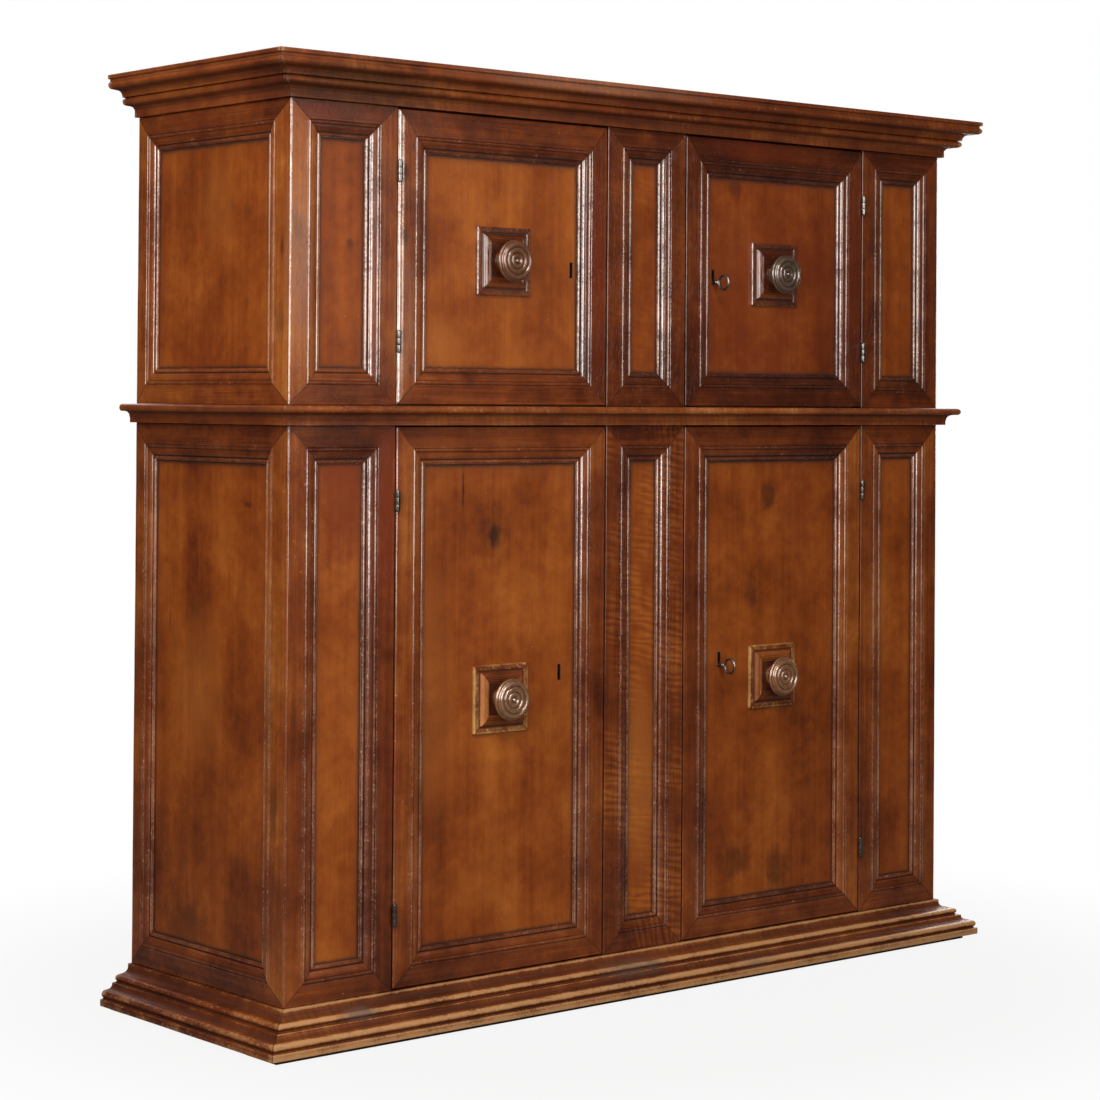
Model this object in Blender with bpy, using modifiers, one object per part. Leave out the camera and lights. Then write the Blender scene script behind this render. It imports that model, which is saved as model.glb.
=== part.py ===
"""Two-part walnut sideboard, in metres, +Z up, front towards -Y, standing on z = 0.

A lower case stands on a moulded plinth with two battens and carries the waist board. An upper case stands on the
waist board under a moulded cornice. Each case has three pilasters and two doors. Every door turns
on two barrel hinges and holds a framed panel, a turned knob on a square plate and a rim lock.
"""

from math import copysign, cos, pi, sin

import bmesh
import bpy
from mathutils import Vector

# Overall sizes
CARCASS_WIDTH = 1.670
CARCASS_DEPTH = 0.508
LOWER_HEIGHT = 1.017
UPPER_HEIGHT = 0.540
SIDE_PILASTER = 0.232
CENTRE_PILASTER = 0.202

# Mouldings round the cases: how far each stands out, and how tall it is
BATTEN_HEIGHT = 0.010
BATTEN_TENON = 0.004
BATTEN_OVER = 0.044
PLINTH_HEIGHT = 0.072
PLINTH_OVER = 0.066
PLINTH_LEDGE = 0.050
WAIST_HEIGHT = 0.035
WAIST_OVER = 0.037
CORNICE_HEIGHT = 0.076
CORNICE_OVER = 0.068
CORNICE_LEDGE = 0.032
TOP_BOARD = 0.022

# Boards
FRONT_BOARD = 0.028
SIDE_BOARD = 0.026
BACK_BOARD = 0.014
BACK_PLANKS = 6
PLANK_GROOVE_WIDTH = 0.003
PLANK_GROOVE_DEPTH = 0.002
FLOOR_BOARD = 0.020
SHELF_BOARD = 0.022
SHELF_HEIGHT = 0.410
SHELF_SETBACK = 0.030
SHELF_HOUSING = 0.006

# Flat borders of the framed faces, outside their mouldings
STILE = 0.038
SIDE_FRONT_STILE = 0.050
SIDE_REAR_STILE = 0.032
UPPER_PILASTER_RAIL = 0.035
UPPER_DOOR_RAIL = 0.047
LOWER_TOP_RAIL = 0.039
BOTTOM_RAIL = 0.036

# The moulding between a frame and its sunk panel
QUIRK = 0.0024
OUTER_BEAD = 0.0070
OVOLO = 0.0135
OVOLO_DROP = 0.0048
OVOLO_SET_DOWN = 0.0017
INNER_BEAD = 0.0060
INNER_BEAD_RISE = 0.0020
INNER_BEAD_SET_DOWN = 0.0010
SIGHT_FILLET = 0.0015
PANEL_RECESS = 0.010
PANEL_REBATE = 0.010

# Knobs and their plates
PLATE_SIZE = 0.127
PLATE_EDGE = 0.006
PLATE_BORDER = 0.010
PLATE_GROOVE = 0.0035
PLATE_QUIRK = 0.0015
PLATE_RIDGE = 0.0105
PLATE_RIDGE_RISE = 0.0065
PLATE_BEADS = 2
PLATE_BEAD = 0.0035
PLATE_BEAD_RISE = 0.0014
PLATE_STEP = 0.0015
PLATE_SLOPE = 0.0025
PLATE_SEAT = 0.007
KNOB_RADIUS = 0.039
KNOB_LENGTH = 0.044
KNOB_NECK = 0.0135
KNOB_FOOT = 0.020

# Hinges
BARREL_RADIUS = 0.0050
BARREL_HEIGHT = 0.038
PIN_RADIUS = 0.0022
PIN_CLEARANCE = 0.0004
LEAF_THICKNESS = 0.0012
LEAF_WIDTH = 0.022
UPPER_HINGE_INSET = 0.113
LOWER_HINGE_INSET = 0.133

# Locks and keys
UPPER_BACKSET = 0.081
LOWER_BACKSET = 0.104
UPPER_KEY_RISE = -0.021
LOWER_KEY_RISE = 0.029
KEYHOLE_HEIGHT = 0.026
KEYHOLE_SLOT = 0.0070
SHANK_RADIUS = 0.0037
BIT_REACH = 0.019
BIT_WIDTH = 0.010
BIT_THICKNESS = 0.0035
BOW_RADIUS = 0.0140
BOW_WIRE = 0.0026
BOW_REACH = 0.018
COLLAR_RADIUS = 0.0052
COLLAR_LENGTH = 0.0037
LOCK_EDGE = 0.005
LOCK_BEHIND = 0.040
LOCK_ABOVE = 0.028
LOCK_BELOW = 0.040
LOCK_DEPTH = 0.018
LOCK_WALL = 0.0016
BOLT_DROP = 0.0135
BOLT_HEIGHT = 0.015
BOLT_THICKNESS = 0.008
BOLT_OFFSET = 0.003
BOLT_BEHIND = 0.032
BOLT_TRAVEL = 0.016
TALON_PLAY = 0.004

# Clearances
GLUE_GAP = 0.0003
DOOR_GAP = 0.003
LEAF_SPACE = 0.0002
SLIDE_CLEARANCE = 0.0004

# Facets
ARC_STEPS = 4
ROUND_STEPS = 20

HALF = CARCASS_WIDTH / 2
CENTRE_HALF = CENTRE_PILASTER / 2
FRONT = -(CARCASS_DEPTH - CORNICE_OVER) / 2
REAR = FRONT + CARCASS_DEPTH
BEHIND_FRONT = FRONT + FRONT_BOARD
PANEL_FACE = FRONT + PANEL_RECESS
Z_LOWER = BATTEN_HEIGHT + PLINTH_HEIGHT
Z_WAIST = Z_LOWER + LOWER_HEIGHT
Z_UPPER = Z_WAIST + WAIST_HEIGHT
Z_CORNICE = Z_UPPER + UPPER_HEIGHT
MOULDING = OUTER_BEAD + OVOLO + INNER_BEAD + 2 * SIGHT_FILLET

HINGE_GAP = 2 * (GLUE_GAP + LEAF_THICKNESS) + LEAF_SPACE
DOOR_INNER = CENTRE_HALF + DOOR_GAP
DOOR_OUTER = HALF - SIDE_PILASTER - HINGE_GAP
DOOR_MIDDLE = (DOOR_INNER + DOOR_OUTER) / 2
HINGE_X = HALF - SIDE_PILASTER - HINGE_GAP / 2
HINGE_Y = FRONT - BARREL_RADIUS - SLIDE_CLEARANCE

TIERS = {
    "lower": {
        "bottom": Z_LOWER,
        "top": Z_WAIST,
        "pilaster_rail": LOWER_TOP_RAIL,
        "door_rail": LOWER_TOP_RAIL,
        "hinge_inset": LOWER_HINGE_INSET,
        "backset": LOWER_BACKSET,
        "key_rise": LOWER_KEY_RISE,
    },
    "upper": {
        "bottom": Z_UPPER,
        "top": Z_CORNICE,
        "pilaster_rail": UPPER_PILASTER_RAIL,
        "door_rail": UPPER_DOOR_RAIL,
        "hinge_inset": UPPER_HINGE_INSET,
        "backset": UPPER_BACKSET,
        "key_rise": UPPER_KEY_RISE,
    },
}
HANDS = {"left": -1, "right": 1}

# Linear colour, roughness, metallic
FINISHES = {
    "walnut_frame": ((0.110, 0.032, 0.013), 0.38, 0.0),
    "walnut_panel": ((0.180, 0.056, 0.017), 0.40, 0.0),
    "walnut_moulding": ((0.130, 0.042, 0.016), 0.36, 0.0),
    "inner_wood": ((0.190, 0.090, 0.040), 0.65, 0.0),
    "knob_bronze": ((0.200, 0.150, 0.110), 0.32, 0.9),
    "hinge_steel": ((0.480, 0.470, 0.450), 0.30, 1.0),
    "lock_iron": ((0.060, 0.050, 0.045), 0.50, 1.0),
}

for old in list(bpy.data.objects):
    bpy.data.objects.remove(old, do_unlink=True)


def new_collection(name):
    collection = bpy.data.collections.new(name)
    bpy.context.scene.collection.children.link(collection)
    return collection


PARTS = new_collection("two_part_sideboard")
CUTTERS = new_collection("cutters")


def finish_material(name, finish):
    """A Principled material for one piece, in one of the sideboard's finishes."""
    colour, roughness, metallic = FINISHES[finish]
    material = bpy.data.materials.new(name + "_finish")
    material.use_nodes = True
    shader = material.node_tree.nodes["Principled BSDF"]
    shader.inputs["Base Color"].default_value = (*colour, 1.0)
    shader.inputs["Roughness"].default_value = roughness
    shader.inputs["Metallic"].default_value = metallic
    return material


def to_mesh(bm, name):
    """Close a bmesh into a mesh with its faces pointing out."""
    bmesh.ops.recalc_face_normals(bm, faces=bm.faces)
    mesh = bpy.data.meshes.new(name)
    bm.to_mesh(mesh)
    bm.free()
    return mesh


def add_piece(name, shape, finish, at=(0, 0, 0), carrier=None):
    """Put a piece in the parts collection; with a carrier, at stays a world place."""
    mesh = to_mesh(shape, name) if isinstance(shape, bmesh.types.BMesh) else shape
    piece = bpy.data.objects.new(name, mesh)
    piece.location = Vector(at)
    if carrier:
        piece.parent = carrier
        piece.location -= carrier.location
    piece.data.materials.clear()
    piece.data.materials.append(finish_material(name, finish))
    PARTS.objects.link(piece)
    return piece


def cut(piece, name, bm):
    """Cut a shape, given in world places, out of a piece."""
    cutter = bpy.data.objects.new(name, to_mesh(bm, name))
    cutter.hide_render = True
    cutter.display_type = "WIRE"
    CUTTERS.objects.link(cutter)
    modifier = piece.modifiers.new(name, "BOOLEAN")
    modifier.operation = "DIFFERENCE"
    modifier.object = cutter


def combine(name, base, joined=(), removed=()):
    """One closed mesh from a base shape, the shapes joined to it and the shapes cut away."""
    shapes = [("UNION", bm) for bm in joined] + [("DIFFERENCE", bm) for bm in removed]
    body = bpy.data.objects.new(name, to_mesh(base, name))
    helpers = [body]
    for operation, bm in shapes:
        helper = bpy.data.objects.new(name + "_helper", to_mesh(bm, name + "_helper"))
        helpers.append(helper)
        modifier = body.modifiers.new(operation, "BOOLEAN")
        modifier.operation = operation
        modifier.object = helper
    for helper in helpers:
        CUTTERS.objects.link(helper)
    bpy.context.view_layer.update()
    mesh = bpy.data.meshes.new_from_object(body.evaluated_get(bpy.context.evaluated_depsgraph_get()))
    mesh.name = name
    for helper in helpers:
        bpy.data.objects.remove(helper, do_unlink=True)
    return mesh


def box(low, high):
    """A box between two corners, given in any order."""
    bm = bmesh.new()
    bmesh.ops.create_cube(bm, size=1.0)
    low, high = Vector(low), Vector(high)
    size = [abs(a - b) for a, b in zip(low, high)]
    bmesh.ops.scale(bm, vec=size, verts=bm.verts)
    bmesh.ops.translate(bm, vec=(low + high) / 2, verts=bm.verts)
    bm.normal_update()
    return bm


def cylinder(radius, low, high, axis="Z", centre=(0, 0), steps=ROUND_STEPS):
    """A round bar along Z or Y, from low to high, with its axis through centre."""
    bm = bmesh.new()
    bmesh.ops.create_cone(
        bm, cap_ends=True, segments=steps, radius1=radius, radius2=radius, depth=high - low
    )
    for vert in bm.verts:
        along = vert.co.z + (low + high) / 2
        across = (vert.co.x + centre[0], vert.co.y + centre[1])
        vert.co = (across[0], across[1], along) if axis == "Z" else (across[0], along, across[1])
    return bm


def face_towards(bm, direction):
    """The face that lies furthest in a direction."""
    return max(bm.faces, key=lambda face: face.calc_center_median().dot(Vector(direction)))


def arc(centre, radii, start, end, steps=ARC_STEPS):
    """Points on an ellipse from one angle to another, in degrees, without the first point."""
    turns = [start + (end - start) * k / steps for k in range(1, steps + 1)]
    return [
        (centre[0] + radii[0] * cos(pi * turn / 180), centre[1] + radii[1] * sin(pi * turn / 180))
        for turn in turns
    ]


def frame_moulding():
    """Height against distance inwards: a bead, a falling ovolo and a low bead beside the panel."""
    ovolo_start = OUTER_BEAD
    ovolo_end = OUTER_BEAD + OVOLO
    bead_middle = ovolo_end + SIGHT_FILLET + INNER_BEAD / 2
    ovolo_top = -OVOLO_SET_DOWN
    foot = ovolo_top - OVOLO_DROP - INNER_BEAD_SET_DOWN
    points = [(0, 0), (0, -QUIRK)]
    points += arc((OUTER_BEAD / 2, -QUIRK), (OUTER_BEAD / 2, QUIRK), 180, 0)
    points += [(ovolo_start, ovolo_top)]
    points += arc((ovolo_start, ovolo_top - OVOLO_DROP), (OVOLO, OVOLO_DROP), 90, 0)
    points += [(ovolo_end, foot), (ovolo_end + SIGHT_FILLET, foot)]
    points += arc((bead_middle, foot), (INNER_BEAD / 2, INNER_BEAD_RISE), 180, 0)
    points += [(MOULDING, foot)]
    return points


def carve(bm, face, points):
    """Inset a face step by step along a profile of (distance inwards, height) points."""
    for (across, height), (next_across, next_height) in zip(points, points[1:]):
        bmesh.ops.inset_individual(
            bm,
            faces=[face],
            thickness=next_across - across,
            depth=next_height - height,
            use_even_offset=True,
        )


def add_border(bm, face, across, margins):
    """Inset a rectangle by its own margin on each side: low, high, bottom, top."""
    low, high, bottom, top = margins
    places = [vert.co.copy() for vert in face.verts]
    first = min(place[across] for place in places) + low
    last = max(place[across] for place in places) - high
    floor = min(place.z for place in places) + bottom
    ceiling = max(place.z for place in places) - top
    middle = face.calc_center_median()
    bmesh.ops.inset_individual(bm, faces=[face], thickness=min(margins) / 2, use_even_offset=True)
    for vert in face.verts:
        vert.co[across] = first if vert.co[across] < middle[across] else last
        vert.co.z = floor if vert.co.z < middle.z else ceiling


def sink(bm, face, depth):
    """Push a face straight into the body, with walls round it."""
    new_face = bmesh.ops.extrude_discrete_faces(bm, faces=[face])["faces"][0]
    bmesh.ops.translate(bm, vec=-depth * new_face.normal, verts=new_face.verts)
    return new_face


def open_through(bm, first, second):
    """Turn two facing faces into the two ends of a hole."""
    edges = list(first.edges) + list(second.edges)
    bmesh.ops.delete(bm, geom=[first, second], context="FACES_ONLY")
    bmesh.ops.bridge_loops(bm, edges=edges)


def moulded_slab(points):
    """A slab as wide as the case, with a moulding of (overhang, z) points on three edges."""
    bm = box((-HALF, FRONT, 0), (HALF, REAR, 1))
    middle = (FRONT + REAR) / 2

    def set_ring(face, overhang, z):
        for vert in face.verts:
            y = FRONT - overhang if vert.co.y < middle else REAR
            vert.co = (copysign(HALF + overhang, vert.co.x), y, z)

    bottom = face_towards(bm, (0, 0, -1))
    top = face_towards(bm, (0, 0, 1))
    set_ring(bottom, *points[0])
    set_ring(top, *points[1])
    for overhang, z in points[2:]:
        top = bmesh.ops.extrude_discrete_faces(bm, faces=[top])["faces"][0]
        set_ring(top, overhang, z)
    bm.normal_update()
    return bm


def scaled(points, over, height, start):
    """Turn a profile in shares of its overhang and height into overhangs and levels."""
    return [(over * out, start + height * up) for out, up in points]


def plinth_profile():
    """Shares from below: fascia, torus, cove, fillet, torus, cove and a lip against the case."""
    points = [(1.0, 0.0), (1.0, 0.18), (0.92, 0.19)]
    points += arc((0.82, 0.30), (0.14, 0.105), -75, 90)
    points += [(0.76, 0.41)]
    points += arc((0.76, 0.535), (0.14, 0.12), 270, 180)
    points += [(0.62, 0.56), (0.50, 0.57)]
    points += arc((0.39, 0.665), (0.13, 0.09), -70, 90)
    points += [(0.28, 0.765)]
    points += arc((0.28, 0.92), (0.17, 0.145), 270, 180)
    points += [(0.11, 1.0)]
    return points


def waist_profile():
    """Shares from below: fillet, a cove leaning out, and a rounded nose."""
    points = [(0.37, 0.0), (0.37, 0.27)]
    points += arc((0.64, 0.27), (0.27, 0.33), 180, 90)
    points += [(0.68, 0.61)]
    points += arc((0.82, 0.80), (0.18, 0.20), -90, 90)
    return points


def cornice_profile():
    """Shares from below: fascia, cove, torus, cove, fillet, a swelling and the top fillet."""
    points = [(0.14, 0.0), (0.14, 0.195), (0.17, 0.205)]
    points += arc((0.31, 0.205), (0.14, 0.065), 180, 90)
    points += [(0.42, 0.275)]
    points += arc((0.42, 0.37), (0.115, 0.09), -80, 85)
    points += [(0.54, 0.475)]
    points += arc((0.68, 0.475), (0.14, 0.16), 180, 90)
    points += [(0.84, 0.65)]
    points += arc((0.86, 0.75), (0.13, 0.10), -90, 60)
    points += [(0.93, 0.86), (0.93, 0.885), (1.0, 0.895), (1.0, 1.0)]
    return points


def make_plinth():
    """A moulded frame on a front and a rear batten, whose ledge carries the lower case."""
    points = scaled(plinth_profile(), PLINTH_OVER, PLINTH_HEIGHT, BATTEN_HEIGHT)
    bm = moulded_slab(points)
    ends = []
    for direction, overhang in ((-1, points[0][0]), (1, points[-1][0])):
        face = face_towards(bm, (0, 0, direction))
        inset = overhang + PLINTH_LEDGE
        bmesh.ops.inset_individual(bm, faces=[face], thickness=inset, use_even_offset=True)
        for vert in face.verts:
            vert.co.y = FRONT + PLINTH_LEDGE if vert.co.y < (FRONT + REAR) / 2 else REAR - PLINTH_LEDGE
        ends.append(face)
    open_through(bm, *ends)
    reach = HALF + BATTEN_OVER
    battens = [
        box((-reach, low, 0), (reach, high, BATTEN_HEIGHT + BATTEN_TENON))
        for low, high in ((FRONT - BATTEN_OVER, FRONT + PLINTH_LEDGE), (REAR - PLINTH_LEDGE, REAR))
    ]
    add_piece("plinth", combine("plinth", bm, joined=battens), "walnut_moulding")


def make_waist():
    """The lower case's top: one thick board with a moulded edge."""
    bm = moulded_slab(scaled(waist_profile(), WAIST_OVER, WAIST_HEIGHT, Z_WAIST))
    add_piece("waist_board", bm, "walnut_moulding")


def make_cornice():
    """The upper case's cap: mouldings round a top board, hollow underneath."""
    points = scaled(cornice_profile(), CORNICE_OVER, CORNICE_HEIGHT, Z_CORNICE)
    bm = moulded_slab(points)
    underside = face_towards(bm, (0, 0, -1))
    bmesh.ops.inset_individual(bm, faces=[underside], thickness=CORNICE_LEDGE, use_even_offset=True)
    for vert in underside.verts:
        vert.co.x = copysign(HALF - CORNICE_LEDGE, vert.co.x)
        vert.co.y = FRONT + CORNICE_LEDGE if vert.co.y < (FRONT + REAR) / 2 else REAR - CORNICE_LEDGE
    bm.normal_update()
    sink(bm, underside, CORNICE_HEIGHT - TOP_BOARD)
    add_piece("cornice", bm, "walnut_moulding")


def make_pilaster(tier, hand):
    """A framed front board; the outer ones are mitred to the side at the corner."""
    sizes = TIERS[tier]
    sign = HANDS.get(hand, 0)
    outer = sign * (HALF - GLUE_GAP) if sign else CENTRE_HALF
    inner = sign * (HALF - SIDE_PILASTER) if sign else -CENTRE_HALF
    low, high = sorted((outer, inner))
    bm = box(
        (low, FRONT, sizes["bottom"] + GLUE_GAP),
        (high, BEHIND_FRONT, sizes["top"] - GLUE_GAP),
    )
    if sign:
        for vert in bm.verts:
            if vert.co.y > FRONT + FRONT_BOARD / 2 and abs(vert.co.x) > HALF - SIDE_PILASTER / 2:
                vert.co.x -= sign * SIDE_BOARD
    face = face_towards(bm, (0, -1, 0))
    add_border(bm, face, 0, (STILE, STILE, BOTTOM_RAIL, sizes["pilaster_rail"]))
    carve(bm, face, frame_moulding() + [(MOULDING, -PANEL_RECESS)])
    add_piece(f"{tier}_{hand}_pilaster", bm, "walnut_frame")


def make_side(tier, hand):
    """A framed side board, mitred at the front; the lower one is housed for the shelf."""
    sizes = TIERS[tier]
    sign = HANDS[hand]
    bm = box(
        (sign * HALF, FRONT, sizes["bottom"] + GLUE_GAP),
        (sign * (HALF - SIDE_BOARD), REAR, sizes["top"] - GLUE_GAP),
    )
    for vert in bm.verts:
        if vert.co.y < FRONT + FRONT_BOARD and abs(vert.co.x) < HALF - SIDE_BOARD / 2:
            vert.co.y += FRONT_BOARD
    face = face_towards(bm, (sign, 0, 0))
    add_border(bm, face, 1, (SIDE_FRONT_STILE, SIDE_REAR_STILE, BOTTOM_RAIL, sizes["pilaster_rail"]))
    carve(bm, face, frame_moulding() + [(MOULDING, -PANEL_RECESS)])
    side = add_piece(f"{tier}_{hand}_side", bm, "walnut_frame")
    if tier == "lower":
        low, high = shelf_corners(GLUE_GAP)
        inner = sign * (HALF - SIDE_BOARD - SHELF_HOUSING)
        cut(side, f"{hand}_shelf_housing", box((inner, *low[1:]), (sign * high[0], *high[1:])))


def shelf_corners(clearance):
    """The shelf's corners, grown by a clearance; its ends lie in the sides' housings."""
    end = HALF - SIDE_BOARD + SHELF_HOUSING
    low_y = BEHIND_FRONT + SHELF_SETBACK
    high_y = REAR - BACK_BOARD - GLUE_GAP
    low_z = Z_LOWER + SHELF_HEIGHT
    low = (-end - clearance, low_y - clearance, low_z - clearance)
    high = (end + clearance, high_y + clearance, low_z + SHELF_BOARD + clearance)
    return low, high


def make_inside(tier):
    """The floor, back and shelf boards between the sides of one case."""
    sizes = TIERS[tier]
    inside = HALF - SIDE_BOARD - GLUE_GAP
    floor = sizes["bottom"] + GLUE_GAP
    stop = BEHIND_FRONT + GLUE_GAP
    rear = REAR - BACK_BOARD - GLUE_GAP
    floor_board = box((-inside, stop, floor), (inside, rear, floor + FLOOR_BOARD))
    back_board = box((-inside, REAR - BACK_BOARD, floor), (inside, REAR, sizes["top"] - GLUE_GAP))
    add_piece(f"{tier}_floor_board", floor_board, "inner_wood")
    back = add_piece(f"{tier}_back_board", back_board, "inner_wood")
    for number in range(1, BACK_PLANKS):
        middle = -inside + 2 * inside * number / BACK_PLANKS
        low = (middle - PLANK_GROOVE_WIDTH / 2, REAR - PLANK_GROOVE_DEPTH, sizes["bottom"])
        high = (middle + PLANK_GROOVE_WIDTH / 2, REAR + PLANK_GROOVE_DEPTH, sizes["top"])
        cut(back, f"{tier}_plank_groove_{number}", box(low, high))
    if tier == "lower":
        add_piece("lower_shelf", box(*shelf_corners(0.0)), "inner_wood")


def make_door_frame(name, sign, low_z, high_z, rail, carrier):
    """Stiles and rails round a rebated opening, with the moulding on their inner edge."""
    bm = box((sign * DOOR_INNER, FRONT, low_z), (sign * DOOR_OUTER, BEHIND_FRONT, high_z))
    face = face_towards(bm, (0, -1, 0))
    add_border(bm, face, 0, (STILE, STILE, BOTTOM_RAIL, rail))
    carve(bm, face, frame_moulding())
    back = face_towards(bm, (0, 1, 0))
    edge = STILE + MOULDING - PANEL_REBATE
    margins = (edge, edge, edge + BOTTOM_RAIL - STILE, edge + rail - STILE)
    add_border(bm, back, 0, margins)
    bm.normal_update()
    back = sink(bm, back, FRONT_BOARD - PANEL_RECESS + GLUE_GAP)
    bmesh.ops.inset_individual(bm, faces=[back], thickness=PANEL_REBATE, use_even_offset=True)
    open_through(bm, face, back)
    add_piece(name + "_door_frame", bm, "walnut_frame", carrier=carrier)


def keyhole(x, z):
    """A round hole with a slot above it for the key's bit, as one upright cutter."""
    radius = SHANK_RADIUS + GLUE_GAP
    reach = KEYHOLE_SLOT / 2
    low = BEHIND_FRONT + FRONT_BOARD
    slot = box((x - reach, FRONT, z), (x + reach, low, z + KEYHOLE_HEIGHT))
    hole = cylinder(radius, FRONT, low, "Y", (x, z))
    mesh = combine("keyhole", hole, joined=[slot])
    bm = bmesh.new()
    bm.from_mesh(mesh)
    return bm


def make_panel(name, sign, low_z, high_z, rail, key, carrier):
    """The board in the frame's rebate, with its keyhole."""
    edge = STILE + MOULDING - PANEL_REBATE + GLUE_GAP
    bm = box(
        (sign * (DOOR_INNER + edge), PANEL_FACE, low_z + edge + BOTTOM_RAIL - STILE),
        (sign * (DOOR_OUTER - edge), BEHIND_FRONT, high_z - edge - rail + STILE),
    )
    panel = add_piece(name + "_door_panel", bm, "walnut_panel", carrier=carrier)
    cut(panel, name + "_keyhole", keyhole(*key))


def plate_profile():
    """Height against distance inwards: border, groove, a ridge that rises inwards, beads, the knob's seat."""
    foot = PLATE_BORDER + PLATE_GROOVE
    inner = foot + PLATE_RIDGE
    points = [(0, 0), (PLATE_BORDER, 0), (PLATE_BORDER, -PLATE_QUIRK), (foot, -PLATE_QUIRK)]
    points += arc((inner, -PLATE_QUIRK), (PLATE_RIDGE, PLATE_RIDGE_RISE), 180, 90)
    level = PLATE_RIDGE_RISE - PLATE_QUIRK
    for _ in range(PLATE_BEADS):
        level -= PLATE_STEP
        points += [(inner, level)]
        points += arc((inner + PLATE_BEAD / 2, level), (PLATE_BEAD / 2, PLATE_BEAD_RISE), 180, 0)
        inner += PLATE_BEAD
    return points + [(inner + PLATE_SLOPE, PLATE_SEAT - PLATE_EDGE)]


def knob_profile():
    """(radius, height) in shares, from the face's middle outwards, round the rim, down the neck."""
    top = KNOB_LENGTH
    rim = KNOB_RADIUS
    points = [(0, top * 0.93), (rim * 0.13, top * 0.92), (rim * 0.17, top * 0.87)]
    points += arc((rim * 0.31, top * 0.87), (rim * 0.14, top * 0.06), 180, 0)
    points += arc((rim * 0.66, top * 0.87), (rim * 0.21, top * 0.13), 180, 0)
    points += [(rim * 0.87, top * 0.80)]
    points += arc((rim * 0.87, top * 0.70), (rim * 0.13, top * 0.10), 90, -70)
    points += [(rim * 0.62, top * 0.50), (KNOB_NECK, top * 0.38), (KNOB_NECK, top * 0.18)]
    points += [(KNOB_FOOT, top * 0.08), (KNOB_FOOT, 0), (0, 0)]
    return points


def make_knob(name, sign, middle_z, carrier):
    """A square moulded plate on the panel, and a turned knob seated in its middle."""
    reach = PLATE_SIZE / 2
    x = sign * DOOR_MIDDLE
    bm = box(
        (x - reach, PANEL_FACE - PLATE_EDGE, middle_z - reach),
        (x + reach, PANEL_FACE - GLUE_GAP, middle_z + reach),
    )
    carve(bm, face_towards(bm, (0, -1, 0)), plate_profile())
    add_piece(name + "_knob_plate", bm, "walnut_moulding", carrier=carrier)

    points = [(radius, 0, height) for radius, height in knob_profile()]
    edges = [(k, k + 1) for k in range(len(points) - 1)]
    mesh = bpy.data.meshes.new(name + "_knob")
    mesh.from_pydata(points, edges, [])
    seat = (x, PANEL_FACE - PLATE_SEAT - GLUE_GAP, middle_z)
    knob = add_piece(name + "_knob", mesh, "knob_bronze", at=seat, carrier=carrier)
    knob.rotation_euler = (pi / 2, 0, 0)
    screw = knob.modifiers.new("turning", "SCREW")
    screw.steps = ROUND_STEPS
    screw.render_steps = ROUND_STEPS
    screw.use_merge_vertices = True
    screw.merge_threshold = 0.00001
    screw.use_smooth_shade = True


def leaf_plate(side, low, high, near, far):
    """A flat strip of a hinge leaf beside the axis: side -1 towards the post, 1 towards the door."""
    first = side * LEAF_SPACE / 2
    return box((first, near, low), (first + side * LEAF_THICKNESS, far, high))


def make_hinge_meshes(sign):
    """The post leaf with two knuckles and the pin, and the door leaf with the middle knuckle."""
    knuckle = BARREL_HEIGHT / 3
    top = BARREL_HEIGHT / 2
    clear = SLIDE_CLEARANCE / 2
    wrap = BARREL_RADIUS + SLIDE_CLEARANCE
    far = wrap + LEAF_WIDTH
    bore = PIN_RADIUS + PIN_CLEARANCE
    post, door = sign, -sign
    joined = []
    for low, high in ((-top, -top + knuckle - clear), (top - knuckle + clear, top)):
        joined.append(cylinder(BARREL_RADIUS, low, high))
        joined.append(leaf_plate(post, low, high, bore, far))
    joined.append(cylinder(PIN_RADIUS, -top + knuckle / 2, top - knuckle / 2))
    post_mesh = combine("hinge_post", leaf_plate(post, -top, top, wrap, far), joined)
    middle = knuckle / 2 - clear
    joined = [cylinder(BARREL_RADIUS, -middle, middle), leaf_plate(door, -middle, middle, bore, far)]
    removed = [cylinder(bore, -knuckle, knuckle)]
    door_mesh = combine("hinge_leaf", leaf_plate(door, -top, top, wrap, far), joined, removed)
    return post_mesh, door_mesh


def make_hinges(name, sign, levels, carrier):
    post_mesh, door_mesh = HINGE_MESHES[sign]
    for place, z in levels.items():
        at = (sign * HINGE_X, HINGE_Y, z)
        add_piece(f"{name}_{place}_hinge_post", post_mesh.copy(), "hinge_steel", at=at)
        add_piece(f"{name}_{place}_hinge_leaf", door_mesh.copy(), "hinge_steel", at=at, carrier=carrier)


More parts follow.
